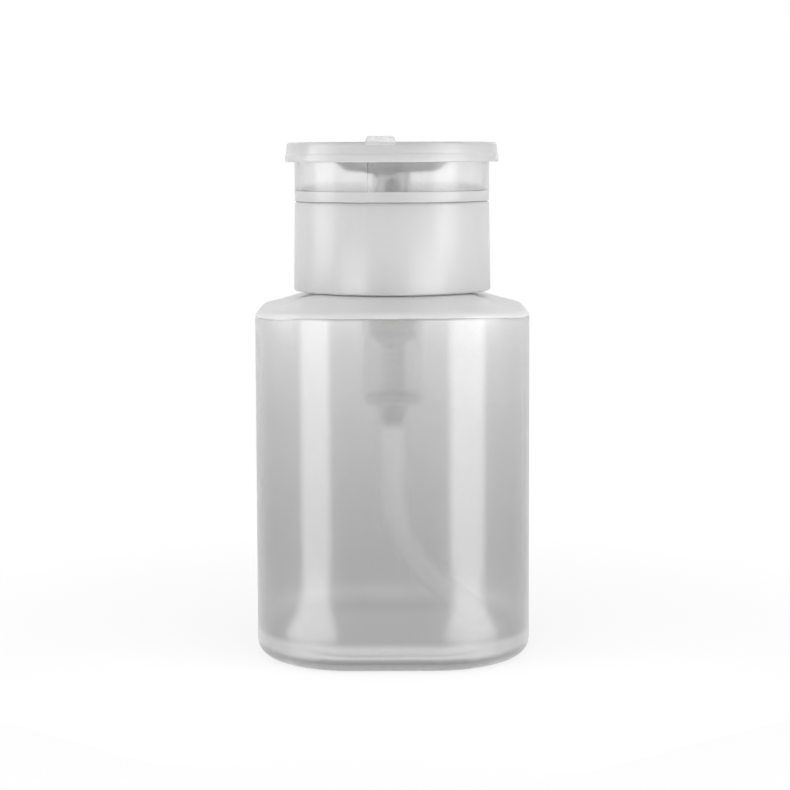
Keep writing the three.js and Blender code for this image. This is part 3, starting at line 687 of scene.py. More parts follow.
def plastic(
    name, color, roughness, clearness, grain, lines, gloss=0.5, skin_gloss=0.0, ior=PLASTIC_IOR,
    spread=0.0,
):
    """Natural plastic. grain and lines are the heights of its fine texture.

    gloss is the specular level. skin_gloss is the share of the smooth skin over the surface.
    spread is how far light travels inside the clouded share of the plastic.
    """
    if name in bpy.data.materials:
        return bpy.data.materials[name]
    material, tree, shader = new_material(name)
    skin = place_group(
        tree, moulded_skin(), Color=(*color, 1), Roughness=roughness, Roughness_Swing=0.03
    )
    streaks = place_group(tree, draw_lines())
    height = math_node(tree, "MULTIPLY", skin.outputs["Height"], grain)
    height = math_node(tree, "MULTIPLY_ADD", streaks.outputs["Height"], lines, height)
    bump = tree.nodes.new("ShaderNodeBump")
    bump.inputs["Distance"].default_value = 1.0
    tree.links.new(height, bump.inputs["Height"])
    tree.links.new(skin.outputs["Color"], shader.inputs["Base Color"])
    tree.links.new(skin.outputs["Roughness"], shader.inputs["Roughness"])
    tree.links.new(bump.outputs["Normal"], shader.inputs["Normal"])
    shader.inputs["IOR"].default_value = ior
    shader.inputs["Specular IOR Level"].default_value = gloss
    shader.inputs["Transmission Weight"].default_value = clearness
    shader.inputs["Coat Weight"].default_value = skin_gloss
    shader.inputs["Coat Roughness"].default_value = SKIN_ROUGHNESS
    shader.inputs["Coat IOR"].default_value = SKIN_IOR
    if spread:
        shader.inputs["Subsurface Weight"].default_value = 1.0
        shader.inputs["Subsurface Radius"].default_value = (1, 1, 1)
        shader.inputs["Subsurface Scale"].default_value = spread
    return material


def shaded_by_height(material):
    """Feeds the wall's painted shade by height into the moulded skin of a bottle material."""
    look = settings().finish
    tree = material.node_tree
    skin = next(n for n in tree.nodes if n.type == "GROUP" and "Cloud Depth" in n.inputs)
    wall = painted_wall_shade(tree, look, top("bottle"))
    tree.links.new(wall, skin.inputs["Color"])
    return material


def frosted_bottle():
    look = settings().finish
    # The outer wall's colour is painted shade by height, darker towards the base.
    return shaded_by_height(plastic(
        "Frosted Bottle", look.bottle_color, look.bottle_roughness, clearness=0.80,
        grain=FROSTED, lines=BLOWN, gloss=0.8, skin_gloss=0.6,
    ))


def bottle_shoulder():
    """The thick, clouded shoulder, where the blown wall stays near the cold neck."""
    look = settings().finish
    return plastic(
        "Bottle Shoulder", look.shoulder_color, roughness=0.30, clearness=0.32,
        grain=FROSTED, lines=MATT, spread=THICK_SPREAD,
    )


def bottle_plate():
    """The floor of the bottle, which is thin and clear."""
    look = settings().finish
    return plastic(
        "Bottle Plate", look.plate_color, roughness=0.20, clearness=0.85, grain=MATT, lines=MATT
    )


def bottle_inside():
    """The blown inner face, which is smoother than the outer one."""
    look = settings().finish
    # The inner wall's colour is painted shade by height, darker towards the base.
    return shaded_by_height(plastic(
        "Bottle Inside", look.bottle_color, roughness=0.12, clearness=0.90,
        grain=POLISHED, lines=BLOWN,
    ))


def clear_barrel():
    return plastic(
        "Clear Barrel", settings().finish.barrel_color, roughness=0.20, clearness=0.92,
        grain=POLISHED, lines=MATT, ior=BARREL_IOR,
    )


def milky_collar():
    return plastic(
        "Milky Collar", settings().finish.collar_color, roughness=0.40, clearness=0.40,
        grain=MATT, lines=MATT, gloss=1.0, skin_gloss=0.6, spread=THIN_SPREAD,
    )


def clear_closure():
    return plastic(
        "Clear Closure", settings().finish.ring_color, roughness=0.17, clearness=0.90,
        grain=SATIN, lines=MATT, gloss=1.0, skin_gloss=0.3, ior=RING_IOR,
    )


def milky_lid():
    return plastic(
        "Milky Lid", settings().finish.lid_color, roughness=0.35, clearness=0.60,
        grain=MATT, lines=MATT, gloss=1.0, skin_gloss=0.6, spread=THIN_SPREAD,
    )


def clear_dish():
    return plastic(
        "Clear Dish", settings().finish.dish_color, roughness=0.24, clearness=0.80,
        grain=GLOSSY, lines=MATT, ior=DISH_IOR,
    )


def pump_plastic():
    return plastic(
        "Pump Plastic", settings().finish.pump_color, roughness=0.24, clearness=0.88,
        grain=SATIN, lines=FROSTED,
    )


def tube_plastic():
    return plastic(
        "Tube Plastic", settings().finish.tube_color, roughness=0.30, clearness=0.0,
        grain=GLOSSY, lines=DRAWN, gloss=1.0, skin_gloss=1.0,
    )


def seal_plastic():
    return plastic(
        "Seal Plastic", settings().finish.seal_color, roughness=0.45, clearness=0.5,
        grain=FROSTED, lines=GLOSSY,
    )


def drawn_steel():
    name = "Drawn Steel"
    if name in bpy.data.materials:
        return bpy.data.materials[name]
    material, tree, shader = new_material(name)
    skin = place_group(
        tree,
        moulded_skin(),
        Color=(*settings().finish.steel_color, 1),
        Roughness=0.28,
        Roughness_Swing=0.15,
        Grain_Size=STEEL_GRAIN,
        Cloud_Size=STEEL_CLOUD,
    )
    bump = tree.nodes.new("ShaderNodeBump")
    bump.inputs["Distance"].default_value = GLOSSY
    tree.links.new(skin.outputs["Height"], bump.inputs["Height"])
    tree.links.new(skin.outputs["Color"], shader.inputs["Base Color"])
    tree.links.new(skin.outputs["Roughness"], shader.inputs["Roughness"])
    tree.links.new(bump.outputs["Normal"], shader.inputs["Normal"])
    shader.inputs["Metallic"].default_value = 1.0
    return material


# Bottle


CORNER_STEPS = 20
SHOULDER_STEPS = 16
LEAST_CORNER_SHARE = 0.25    # of the plan's corner, the least that a ring of the base has
SIDE_SHARES = (-1, -0.5, 0, 0.5, 1)           # points across a flat side, of half its width
SEAM_SHARES = (-1, -0.5, -0.03, -0.012, 0.012, 0.03, 0.5, 1)
SEAM_CREST_SHARE = 0.012
CROWN_SHARES = (0.6, 1.0)    # of the half depth: where the crown starts and where it is full
SWELL_SHARES = (0.35, 0.72)  # the same for the swell round the neck
SWELL_END_SHARE = 0.3        # of the slope that the swell has to itself
UPWARD_SHARE = 0.12          # the shoulder's faces point up by more than this
SWELL_FADE = 3               # the swell fades out up the neck over this many fillets

# Thread
THREAD_STEPS = 72            # in one turn
FADE_STEPS = 9
THREAD_SINK = 0.5 * MM       # how far a ridge stands into its wall
NECK_TURNS = 1.5
COLLAR_TURNS = 1.25
COLLAR_LEAD_SHARE = 5 / 12   # of a turn that the collar's thread starts later


def plan_ring(flat, corner, height, seam=0.0):
    """A rounded square. The sides at +X and -X carry the parting line, seam high."""
    points = []
    for side in range(4):
        shares = SIDE_SHARES if side % 2 else SEAM_SHARES
        spin = Matrix.Rotation(side * math.pi / 2, 2)
        for s in shares[:-1]:
            lift = seam if abs(s) <= SEAM_CREST_SHARE and side % 2 == 0 else 0
            points.append(spin @ Vector((flat + corner + lift, flat * s)))
        for k in range(CORNER_STEPS):
            angle = math.pi / 2 * k / CORNER_STEPS
            arm = Vector((math.cos(angle), math.sin(angle))) * corner
            points.append(spin @ (Vector((flat, flat)) + arm))
    return [Vector((p.x, p.y, height)) for p in points]


def shell_profile(sizes, inset, neck_foot):
    """(inset, height) down the bottle's side: shoulder's end, shoulder edge, heel and land."""
    run = sizes.half_width - sizes.neck_radius - sizes.neck_fillet
    edge_height = neck_foot - run * math.tan(sizes.slope)
    land_end = sizes.heel + sizes.land
    recess_height = inset + sizes.recess
    return [
        (run, neck_foot - inset),
        (inset, edge_height - inset / math.cos(sizes.slope), sizes.edge - inset),
        (inset, inset, sizes.heel - inset),
        (land_end, inset, sizes.land / 2),
        (land_end + sizes.recess_slope, recess_height, sizes.recess_slope / 2),
        (sizes.half_width, recess_height),
    ]


def eased(value, span):
    """0 before the span, 1 beyond it and a soft rise between."""
    way = min(1.0, max(0.0, (value - span[0]) / (span[1] - span[0])))
    return way * way * (3 - 2 * way)


def crowned(ring, lift, outward=1.0):
    """Raises a ring by lift at the front and back, and over a wider part of it near the neck."""
    depth = max(point.y for point in ring)
    blend = max(0.0, outward - SWELL_END_SHARE) / (1 - SWELL_END_SHARE)
    for point in ring:
        facing = abs(point.y) / depth
        point.z += lift * (
            eased(facing, SWELL_SHARES) * (1 - blend) + eased(facing, CROWN_SHARES) * blend
        )
    return ring


def side_rings(sizes, profile, seam):
    """Rings for a profile of points, from the shoulder's end down to the base."""
    flat = sizes.half_width - sizes.corner
    rings = []
    start = profile[0]
    shoulder_end = next(k for k, p in enumerate(profile) if k and p.x < sizes.corner)
    edge = profile[shoulder_end]
    corner_from = sizes.half_width - start.x
    corner_to = sizes.corner - edge.x
    for k in range(SHOULDER_STEPS):
        s = k / SHOULDER_STEPS
        fall = (start.y - edge.y) * s
        corner = corner_from + (corner_to - corner_from) * s
        lift = min(sizes.swell + fall, sizes.crown + sizes.bulge * (1 - s))
        rings.append(crowned(plan_ring(flat * s, corner, start.y - fall, seam * s), lift, s))
    for p in profile[shoulder_end:]:
        corner = sizes.corner - p.x
        if corner > sizes.corner * LEAST_CORNER_SHARE:
            lift = sizes.crown if p.y > start.y / 2 else 0.0
            rings.append(crowned(plan_ring(flat, corner, p.y, seam), lift))
    return rings


def thread_ridge(name, root, crest, height, start, turns):
    """A rounded ridge wound up the wall at root, which fades into the wall at both ends."""
    thread = settings().thread
    steps = round(turns * THREAD_STEPS)
    outward = math.copysign(1, crest - root)
    into = root - outward * THREAD_SINK
    rings = []
    for k in range(steps + 1):
        angle = start + 2 * math.pi * k / THREAD_STEPS
        middle = height + thread.pitch * k / THREAD_STEPS
        share_out = min(1, (k + 1) / FADE_STEPS, (steps - k + 1) / FADE_STEPS)
        tip = root + (crest - root) * math.sin(share_out * math.pi / 2)
        soft = EDGE_ROUND * share_out
        section = soften([
            (into, -thread.root / 2),
            (root, -thread.root / 2, soft / 2),
            (tip, -thread.crest / 2, soft),
            (tip, thread.crest / 2, soft),
            (root, thread.root / 2, soft / 2),
            (into, thread.root / 2),
        ])
        rings.append([
            Vector((p.x * math.cos(angle), p.x * math.sin(angle), middle + p.y)) for p in section
        ])
    return wound(name, rings)


def neck_rings(sizes, neck_foot, lip):
    """Rings up the outside of the neck and down its bore. The swell fades out up the neck."""
    bore = sizes.neck_radius - sizes.neck_wall
    fillet_end = sizes.neck_radius + sizes.neck_fillet
    points = soften([
        (fillet_end, neck_foot),
        (sizes.neck_radius, neck_foot, sizes.neck_fillet),
        (sizes.neck_radius, lip, sizes.lip_round),
        (bore, lip, sizes.lip_round),
        (bore, neck_foot - sizes.wall, sizes.neck_fillet),
        (fillet_end, neck_foot - sizes.wall),
    ], closed=False)
    rings = []
    for k, p in enumerate(points[1:-1], 1):
        start = neck_foot if k < len(points) / 2 else neck_foot - sizes.wall
        fade = max(0.0, 1 - (p.y - start) / (SWELL_FADE * sizes.neck_fillet))
        rings.append(crowned(plan_ring(0, p.x, p.y), sizes.swell * fade, 0.0))
    return rings


def bottle_zone(face, sizes, neck_foot):
    """Which material a face of the bottle has: 0 outside, 1 inside, 2 shoulder, 3 floor."""
    heart = Vector((0, 0, neck_foot / 2))
    plate_reach = sizes.half_width - sizes.heel - sizes.land
    if face.center.z > neck_foot:
        inside = face.center.xy.length < sizes.neck_radius - sizes.neck_wall / 2
    else:
        inside = face.normal.dot(heart - face.center) > 0
    on_shoulder = (
        heart.z < face.center.z < neck_foot + sizes.neck_fillet
        and face.normal.z > UPWARD_SHARE
    )
    on_plate = (
        face.center.z < 2 * sizes.wall
        and max(abs(face.center.x), abs(face.center.y)) < plate_reach
    )
    if on_plate:
        return 3
    if on_shoulder and not inside:
        return 2
    return int(inside)


def make_bottle():
    sizes = settings().bottle
    thread = settings().thread
    lip = top("bottle")
    neck_foot = lip - sizes.neck_height
    outer = soften(shell_profile(sizes, 0.0, neck_foot), closed=False)
    inner = soften(shell_profile(sizes, sizes.wall, neck_foot), closed=False)
    body = loft("blown_bottle", [
        [Vector((0, 0, sizes.recess))],
        *reversed(side_rings(sizes, outer, sizes.seam_height)),
        *neck_rings(sizes, neck_foot, lip),
        *side_rings(sizes, inner, 0.0),
        [Vector((0, 0, sizes.wall + sizes.recess))],
    ])
    ridge = thread_ridge(
        "neck_thread", sizes.neck_radius, sizes.neck_radius + thread.depth,
        neck_foot + thread.start, 0, NECK_TURNS,
    )
    joined(body, ridge)
    fitted(body, "bottle_body", "bottle", frosted_bottle())
    for material in (bottle_inside(), bottle_shoulder(), bottle_plate()):
        body.data.materials.append(material)
    for face in body.data.polygons:
        face.material_index = bottle_zone(face, sizes, neck_foot)
    return body


def make_gasket():
    sizes = settings().bottle
    low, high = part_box("neck_gasket")
    bore = sizes.neck_radius - sizes.neck_wall + sizes.lip_round
    ring = turned("sealing_ring", [
        (bore, low.z, FINE_ROUND),
        (high.x, low.z, FINE_ROUND),
        (high.x, high.z, FINE_ROUND),
        (bore, high.z, FINE_ROUND),
    ])
    return fitted(ring, "pump_body", "neck_gasket", seal_plastic())


def make_collar():
    closure = settings().closure
    thread = settings().thread
    bottle = settings().bottle
    low, high = foot("screw_collar"), top("screw_collar")
    bore = closure.collar_radius - closure.collar_wall
    web = high - closure.collar_web
    web_width = 3.5 * MM
    web_bore = bore - web_width
    rim_round = 0.35 * MM
    top_round = 0.55 * MM
    shell = turned("screw_collar_shell", [
        (reach("screw_collar"), low, rim_round),
        (closure.collar_radius, high, top_round),
        (web_bore, high, SMALL_ROUND),
        (web_bore, web, SMALL_ROUND),
        (bore, web, ROOT_ROUND),
        (bore, low, SMALL_ROUND),
    ])
    neck_foot = top("bottle") - bottle.neck_height
    lead = thread.pitch * (COLLAR_LEAD_SHARE - 1 / 2)
    ridge = thread_ridge(
        "collar_thread", bore, bottle.neck_radius + thread.play,
        neck_foot + thread.start + lead, COLLAR_LEAD_SHARE * 2 * math.pi, COLLAR_TURNS,
    )
    joined(shell, ridge)
    return fitted(shell, "collar_body", "screw_collar", milky_collar())


# Closure


KNUCKLE_RADIUS = 1.7 * MM
PIN_HOLE_RADIUS = 1.0 * MM
PIN_RADIUS = 0.7 * MM
EAR_GAP = 0.3 * MM           # between the lid's knuckle and an ear
HINGE_STEPS = 16
OUTLETS = 3


class HingePlace:
    """Where the hinge lies before the closure is turned on the neck."""

    def __init__(self):
        closure = settings().closure
        self.radius = KNUCKLE_RADIUS
        self.y = closure.collar_radius + LID_GAP + closure.lid_wall + closure.hinge_offset
        self.z = (foot("hinge_pin") + top("hinge_pin")) / 2
        self.ear_middle = closure.barrel_length / 2 + EAR_GAP + closure.ear_width / 2
        self.ear_edge = self.ear_middle + closure.ear_width / 2

    def round_end(self, start, end):
        """Points round the hinge's axis, from one angle to another."""
        angles = [start + (end - start) * k / HINGE_STEPS for k in range(HINGE_STEPS + 1)]
        return [
            (self.y + self.radius * math.cos(a), self.z + self.radius * math.sin(a))
            for a in angles
        ]

    def hole(self, half_length):
        """A bar that cuts the pin's hole."""
        hole = rod("pin_hole", PIN_HOLE_RADIUS, -half_length, half_length)
        return moved(hole, Matrix.Translation((0, self.y, self.z)))


def make_guide_ring():
    closure = settings().closure
    hinge = HingePlace()
    radius = closure.collar_radius
    bore = radius - closure.ring_wall
    seam = top("screw_collar") + closure.seam
    rim = top("top_ring")
    deck_low = top("pump_housing") + PUMP_GAP
    deck_high = deck_low + closure.deck
    band_rise = 0.15 * MM
    band = deck_high + band_rise
    hole = closure.boss_radius + SLIDE_GAP
    skirt = 11.25 * MM
    skirt_wall = 0.9 * MM
    skirt_bore = skirt - skirt_wall
    soft = TINY_ROUND
    lip = 0.45 * MM
    groove_depth = 0.1 * MM
    groove = seam - groove_depth
    shell = turned("guide_ring", [
        (radius - lip, seam, soft / 3),
        (radius, seam, soft),
        (radius, band),
        (radius, rim, RIM_ROUND),
        (bore, rim, RIM_ROUND),
        (bore, deck_high, ROOT_ROUND),
        (hole, deck_high, soft),
        (hole, deck_low, soft),
        (skirt_bore, deck_low, RIM_ROUND),
        (skirt_bore, foot("top_ring"), soft),
        (skirt, foot("top_ring"), soft),
        (skirt, deck_low, RIM_ROUND),
        (bore, deck_low, RIM_ROUND),
        (bore, groove, soft / 3),
        (radius - lip, groove, soft / 3),
    ])
    key_sink = 0.4 * MM
    key_foot = 0.3 * MM
    key = arc_rib(
        "guide_key",
        (bore - closure.key_depth, bore + key_sink),
        closure.key_width / 2 / bore,
        (deck_low + key_foot, rim - closure.key_drop),
    )
    ear_sink = 0.5 * MM
    stop_gap = 0.5 * MM
    stop_thickness = 1.2 * MM
    stop_setback = 0.4 * MM
    root = math.sqrt(radius**2 - hinge.ear_edge**2) - ear_sink
    stop_top = hinge.z - hinge.radius - stop_gap
    stop_low = stop_top - stop_thickness
    stop_reach = hinge.y - stop_setback
    ledge = block(
        "ear_foot", (-hinge.ear_edge, root, stop_low), (hinge.ear_edge, stop_reach, stop_top), soft
    )
    parts = [key, ledge]
    for side in (-1, 1):
        middle = side * hinge.ear_middle
        low = middle - closure.ear_width / 2
        high = middle + closure.ear_width / 2
        outline = [
            (root, stop_low + soft),
            (stop_reach - soft, stop_low + soft),
            (stop_reach - soft, hinge.z - hinge.radius),
            *hinge.round_end(-math.pi / 2, math.pi / 2),
            (root, hinge.z + hinge.radius),
        ]
        parts.append(plate("ear", outline, low, high, soft))
    joined(shell, *parts)
    cut(shell, hinge.hole(hinge.ear_edge + CUT_OVER))
    fitted(as_closure(shell), "pump_body", "top_ring", clear_closure())
    shell.data.materials.append(milky_collar())
    for face in shell.data.polygons:
        on_wall = face.center.xy.length > radius - lip
        face.material_index = int(on_wall and face.center.z < band)
    return shell


def make_lid():
    closure = settings().closure
    hinge = HingePlace()
    bore = closure.collar_radius + LID_GAP
    radius = bore + closure.lid_wall
    high = top("flip_lid") - closure.tab_height
    inside = high - closure.lid_thickness
    low = inside - closure.lid_depth
    step = 0.2 * MM
    band_height = 1.4 * MM
    step_end = 1.6 * MM
    side = radius - step
    draft = 0.15 * MM
    top_round = 0.6 * MM
    plug_gap = 0.3 * MM
    plug_low = top("nozzle_insert") + plug_gap
    plug_bore = 2.7 * MM
    plug = 3.7 * MM
    gate = 0.8 * MM
    gate_floor = 0.6 * MM
    gate_depth = 0.1 * MM
    soft = SMALL_ROUND
    shell = turned("hinged_lid", [
        (0, inside),
        (plug_bore, inside, soft),
        (plug_bore, plug_low, soft),
        (plug, plug_low, soft),
        (plug, inside, soft),
        (bore, inside, ROOT_ROUND),
        (bore, low, EDGE_ROUND),
        (radius, low, EDGE_ROUND),
        (radius, low + band_height, RIM_ROUND),
        (side, low + step_end, RIM_ROUND),
        (side - draft, high, top_round),
        (gate, high, soft),
        (gate_floor, high - gate_depth, soft / 2),
        (0, high - gate_depth),
    ])
    notch_gap = 0.5 * MM
    notch_half = hinge.ear_edge + notch_gap
    notch_from = math.sqrt(bore**2 - notch_half**2) - notch_gap
    notch = block(
        "notch",
        (-notch_half, notch_from, low - CUT_OVER),
        (notch_half, radius + CUT_OVER, inside),
    )
    cut(shell, notch)
    tab_round = 0.35 * MM
    tab_front = 0.15 * MM
    tab_back = 2.05 * MM
    tab_outline = [
        (-closure.tab_width / 2, high - closure.lid_thickness / 2),
        (-closure.tab_width / 2, high),
        (-closure.tab_top / 2, top("flip_lid"), tab_round),
        (closure.tab_top / 2, top("flip_lid"), tab_round),
        (closure.tab_width / 2, high),
        (closure.tab_width / 2, high - closure.lid_thickness / 2),
    ]
    tab = plate("thumb_tab", tab_outline, -radius - tab_front, tab_back - radius, FINE_ROUND)
    moved(tab, Matrix.Rotation(math.pi / 2, 4, "Z"))
    arm_setback = 0.3 * MM
    arm_inner = bore + arm_setback
    arm_drop = 0.02 * MM
    arm = plate(
        "knuckle",
        [
            (arm_inner, hinge.z),
            *hinge.round_end(-math.pi * 3 / 4, 0),
            (hinge.y + hinge.radius / 2, hinge.z + hinge.radius, ROOT_ROUND),
            (hinge.y, inside, ROOT_ROUND),
            (hinge.y, high, WIDE_ROUND),
            (arm_inner, high - arm_drop),
        ],
        -closure.barrel_length / 2,
        closure.barrel_length / 2,
        TINY_ROUND,
    )
    joined(shell, tab, arm)
    cut(shell, hinge.hole(closure.barrel_length / 2 + CUT_OVER))
    return fitted(as_closure(shell), "lid_body", "flip_lid", milky_lid())


def make_hinge_pin():
    hinge = HingePlace()
    half = hinge.ear_edge
    pin = turned("lid_pin", [
        (0, -half),
        (PIN_RADIUS, -half, SMALL_ROUND),
        (PIN_RADIUS, half, SMALL_ROUND),
        (0, half),
    ], SMALL_SIDES)
    moved(pin, Matrix.Rotation(math.pi / 2, 4, "Y"))
    moved(pin, Matrix.Translation((0, hinge.y, hinge.z)))
    return fitted(
        as_closure(pin), "pump_body", "hinge_pin", clear_closure()
    )


def make_dish():
    closure = settings().closure
    floor = 1.0 * MM
    boss_wall = 1.0 * MM
    rim_gap = 0.6 * MM
    rim_thickness = 0.8 * MM
    rim_round = 1.2 * MM
    high = top("press_dish")
    inside = high - closure.bowl_depth
    low = inside - floor
    boss = closure.boss_radius
    bore = boss - boss_wall
    ring_bore = closure.collar_radius - closure.ring_wall
    edge = ring_bore - rim_gap
    soft = 0.18 * MM
    curve = 2.0 * MM
    dish = turned("cotton_dish", [
        (bore, foot("press_dish"), soft),
        (boss, foot("press_dish"), soft),
        (boss, low, WIDE_ROUND),
        (closure.bowl_floor + floor, low, curve),
        (closure.bowl_rim + rim_thickness / 2, high - rim_thickness, curve),
        (edge, high - rim_thickness, EDGE_ROUND),
        (edge, high, EDGE_ROUND),
        (closure.bowl_rim, high, rim_round),
        (closure.bowl_floor, inside, curve),
        (bore, inside, soft),
    ])
    notch_half = closure.key_width / 2 + KEY_GAP
    notch = block(
        "key_notch",
        (-notch_half, -edge - CUT_OVER, high - rim_thickness - CUT_OVER),
        (notch_half, closure.key_depth + KEY_GAP - ring_bore, high + CUT_OVER),
        RIM_ROUND,
    )
    cut(dish, notch)
    return fitted(as_closure(dish), "dish_body", "press_dish", clear_dish())


def make_nozzle():
    closure = settings().closure
    radius = 3.6 * MM
    shank_inset = 1.2 * MM
    shank = closure.boss_radius - shank_inset
    head_thickness = 1.0 * MM
    roof_thickness = 0.6 * MM
    head_round = 0.6 * MM
    high = top("nozzle_insert")
    under = high - head_thickness
    roof = high - roof_thickness
    bore = 1.2 * MM
    outlet_radius = 0.35 * MM
    outlet_circle = 0.75 * MM
    soft = TINY_ROUND
    button = turned("nozzle_button", [
        (0, roof),
        (bore, roof, soft),
        (bore, foot("nozzle_insert"), soft),
        (shank, foot("nozzle_insert"), soft),
        (shank, under, soft),
        (radius, under, soft),
        (radius, high, head_round),
        (0, high),
    ], SMALL_SIDES)
    holes = []
    for k in range(OUTLETS):
        angle = 2 * math.pi * k / OUTLETS
        hole = rod("outlet", outlet_radius, -CUT_OVER, CUT_OVER, OUTLET_SIDES)
        moved(hole, Matrix.Rotation(math.pi / 2, 4, "Y"))
        place = (outlet_circle * math.cos(angle), outlet_circle * math.sin(angle), high)
        holes.append(moved(hole, Matrix.Translation(place)))
    cut(button, *holes)
    return fitted(as_closure(button), "dish_body", "nozzle_insert", seal_plastic())


# Pump


BALL_STEPS = 32
SPRING_TURNS = 7
SPRING_STEPS = 32            # in one turn
WIRE_SIDES = 14
TUBE_STEPS = 96
TUBE_SIDES = 48


def make_housing():
    pump = settings().pump
    closure = settings().closure
    inner = pump.chamber_radius
    outer = inner + pump.chamber_wall
    web = top("screw_collar") - closure.collar_web
    web_gap = 0.3 * MM
    flange_high = web - web_gap
    flange_low = top("neck_gasket")
    flange = reach("neck_gasket")
    chamber_floor = foot("ball_cage")
    floor = 0.9 * MM
    floor_low = chamber_floor - floor
    floor_round = 1.2 * MM
    turret_inset = 2.8 * MM
    turret_wall = 1.0 * MM
    turret = flange - turret_inset
    turret_bore = turret - turret_wall
    high = top("pump_housing")
    ball_z = (foot("inlet_ball") + top("inlet_ball")) / 2
    seat_gap = 0.1 * MM
    cone_tip = ball_z - (pump.ball_radius + seat_gap) * math.sqrt(2)
    inlet = 1.2 * MM
    pocket_gap = 0.35 * MM
    pocket = pump.ball_radius + pocket_gap
    hub = 3.3 * MM
    hub_round = 0.8 * MM
    spigot = 2.0 * MM
    spigot_drop = 0.5 * MM
    spigot_top = cone_tip + inlet - spigot_drop
    point_height = 1.0 * MM
    point_taper = 0.25 * MM
    vent_radius = 0.6 * MM
    vent_drop = 4 * MM
    soft = FINE_ROUND
    barrel = turned("pump_barrel", [
        (inner, flange_high, EDGE_ROUND),
        (turret_bore, flange_high, EDGE_ROUND),
        (turret_bore, high, soft),
        (turret, high, soft),
        (turret, flange_high, EDGE_ROUND),
        (flange, flange_high, soft),
        (flange, flange_low, soft),
        (outer, flange_low, WIDE_ROUND),
        (outer, floor_low, floor_round),
        (hub, floor_low, hub_round),
        (hub, spigot_top, EDGE_ROUND),
        (spigot, spigot_top, SMALL_ROUND),
        (spigot, foot("pump_housing") + point_height, EDGE_ROUND),
        (spigot - point_taper, foot("pump_housing"), soft),
        (inlet, foot("pump_housing"), soft),
        (inlet, cone_tip + inlet, soft),
        (pocket, cone_tip + pocket, soft),
        (pocket, chamber_floor, soft),
        (inner, chamber_floor, EDGE_ROUND),
    ], MIDDLE_SIDES)
    vent = rod("vent", vent_radius, inner - CUT_OVER, outer + CUT_OVER, VENT_SIDES)
    moved(vent, Matrix.Translation((0, 0, flange_low - vent_drop)))
    cut(barrel, vent)
    return fitted(barrel, "pump_body", "pump_housing", clear_barrel())


def make_sleeve():
    pump = settings().pump
    outer = pump.chamber_radius - PUMP_GAP
    wide = settings().closure.boss_radius + SLIDE_GAP
    narrow = pump.stem_radius + SLIDE_GAP
    flange_thickness = 0.9 * MM
    flange_low = top("lock_sleeve") - flange_thickness
    flange = reach("lock_sleeve")
    step_gap = 0.5 * MM
    step = foot("press_dish") - pump.stroke - step_gap
    soft = SMALL_ROUND
    sleeve = turned("stem_sleeve", [
        (narrow, foot("lock_sleeve"), soft),
        (outer, foot("lock_sleeve"), soft),
        (outer, flange_low, soft),
        (flange, flange_low, soft),
        (flange, top("lock_sleeve"), soft),
        (wide, top("lock_sleeve"), EDGE_ROUND),
        (wide, step, soft),
        (narrow, step, EDGE_ROUND),
    ], MIDDLE_SIDES)
    return fitted(sleeve, "pump_body", "lock_sleeve", pump_plastic())


def make_ball_cage():
    low, high = foot("ball_cage"), top("ball_cage")
    radius = settings().pump.chamber_radius - PUMP_GAP
    disc = turned("cage_disc", [
        (0, low),
        (radius, low, FINE_ROUND),
        (radius, high, FINE_ROUND),
        (0, high),
    ], MIDDLE_SIDES)
    half = 0.45 * MM
    arm = 1.9 * MM
    bars = [
        block("slot", (-x, -y, low - CUT_OVER), (x, y, high + CUT_OVER), SLIGHT_ROUND)
        for x, y in ((arm, half), (half, arm))
    ]
    cut(disc, *bars)
    return fitted(disc, "pump_body", "ball_cage", seal_plastic())


def polished_ball(name, node, body):
    """A lapped ball: a turned half circle with its poles on the axis."""
    low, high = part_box(node)
    radius = (high.z - low.z) / 2
    middle = (high.z + low.z) / 2
    angles = [math.pi * (k / BALL_STEPS - 0.5) for k in range(BALL_STEPS + 1)]
    rings = [
        circle(radius * math.cos(a), middle + radius * math.sin(a), SMALL_SIDES) for a in angles
    ]
    return fitted(loft(name, rings), body, node, drawn_steel())


def make_balls():
    polished_ball("inlet_check_ball", "inlet_ball", "inlet_ball_body")
    polished_ball("outlet_check_ball", "outlet_ball", "outlet_ball_body")


def make_spring():
    pump = settings().pump
    seat = top("ball_cage")
    seat_gap = 0.05 * MM
    low = seat + pump.wire_radius + seat_gap
    spring_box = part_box("return_spring")
    rise = spring_box[1].z - spring_box[0].z - 2 * pump.wire_radius
    steps = SPRING_TURNS * SPRING_STEPS
    rings = []
    for k in range(steps + 1):
        angle = 2 * math.pi * k / SPRING_STEPS
        outward = Vector((math.cos(angle), math.sin(angle), 0))
        middle = outward * pump.spring_radius
        middle.z = low + rise * k / steps
        around = [2 * math.pi * s / WIRE_SIDES for s in range(WIRE_SIDES)]
        rings.append([
            middle
            + outward * (pump.wire_radius * math.cos(a))
            + Vector((0, 0, pump.wire_radius * math.sin(a)))
            for a in around
        ])
    spring = wound("coil_spring", rings)
    fitted(spring, "pump_body", "return_spring", drawn_steel())
    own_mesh(spring)


def make_stem():
    pump = settings().pump
    bore = pump.stem_bore
    neck_inset = 0.45 * MM
    neck = pump.stem_radius - neck_inset
    shoulder_gap = 0.1 * MM
    shoulder = top("piston") + shoulder_gap
    soft = FINE_ROUND
    stem = turned("hollow_stem", [
        (bore, foot("stem"), soft),
        (neck, foot("stem"), soft),
        (neck, shoulder, soft),
        (pump.stem_radius, shoulder, soft),
        (pump.stem_radius, top("stem"), SMALL_ROUND),
        (bore, top("stem"), SMALL_ROUND),
    ], SMALL_SIDES)
    return fitted(stem, "dish_body", "stem", pump_plastic())


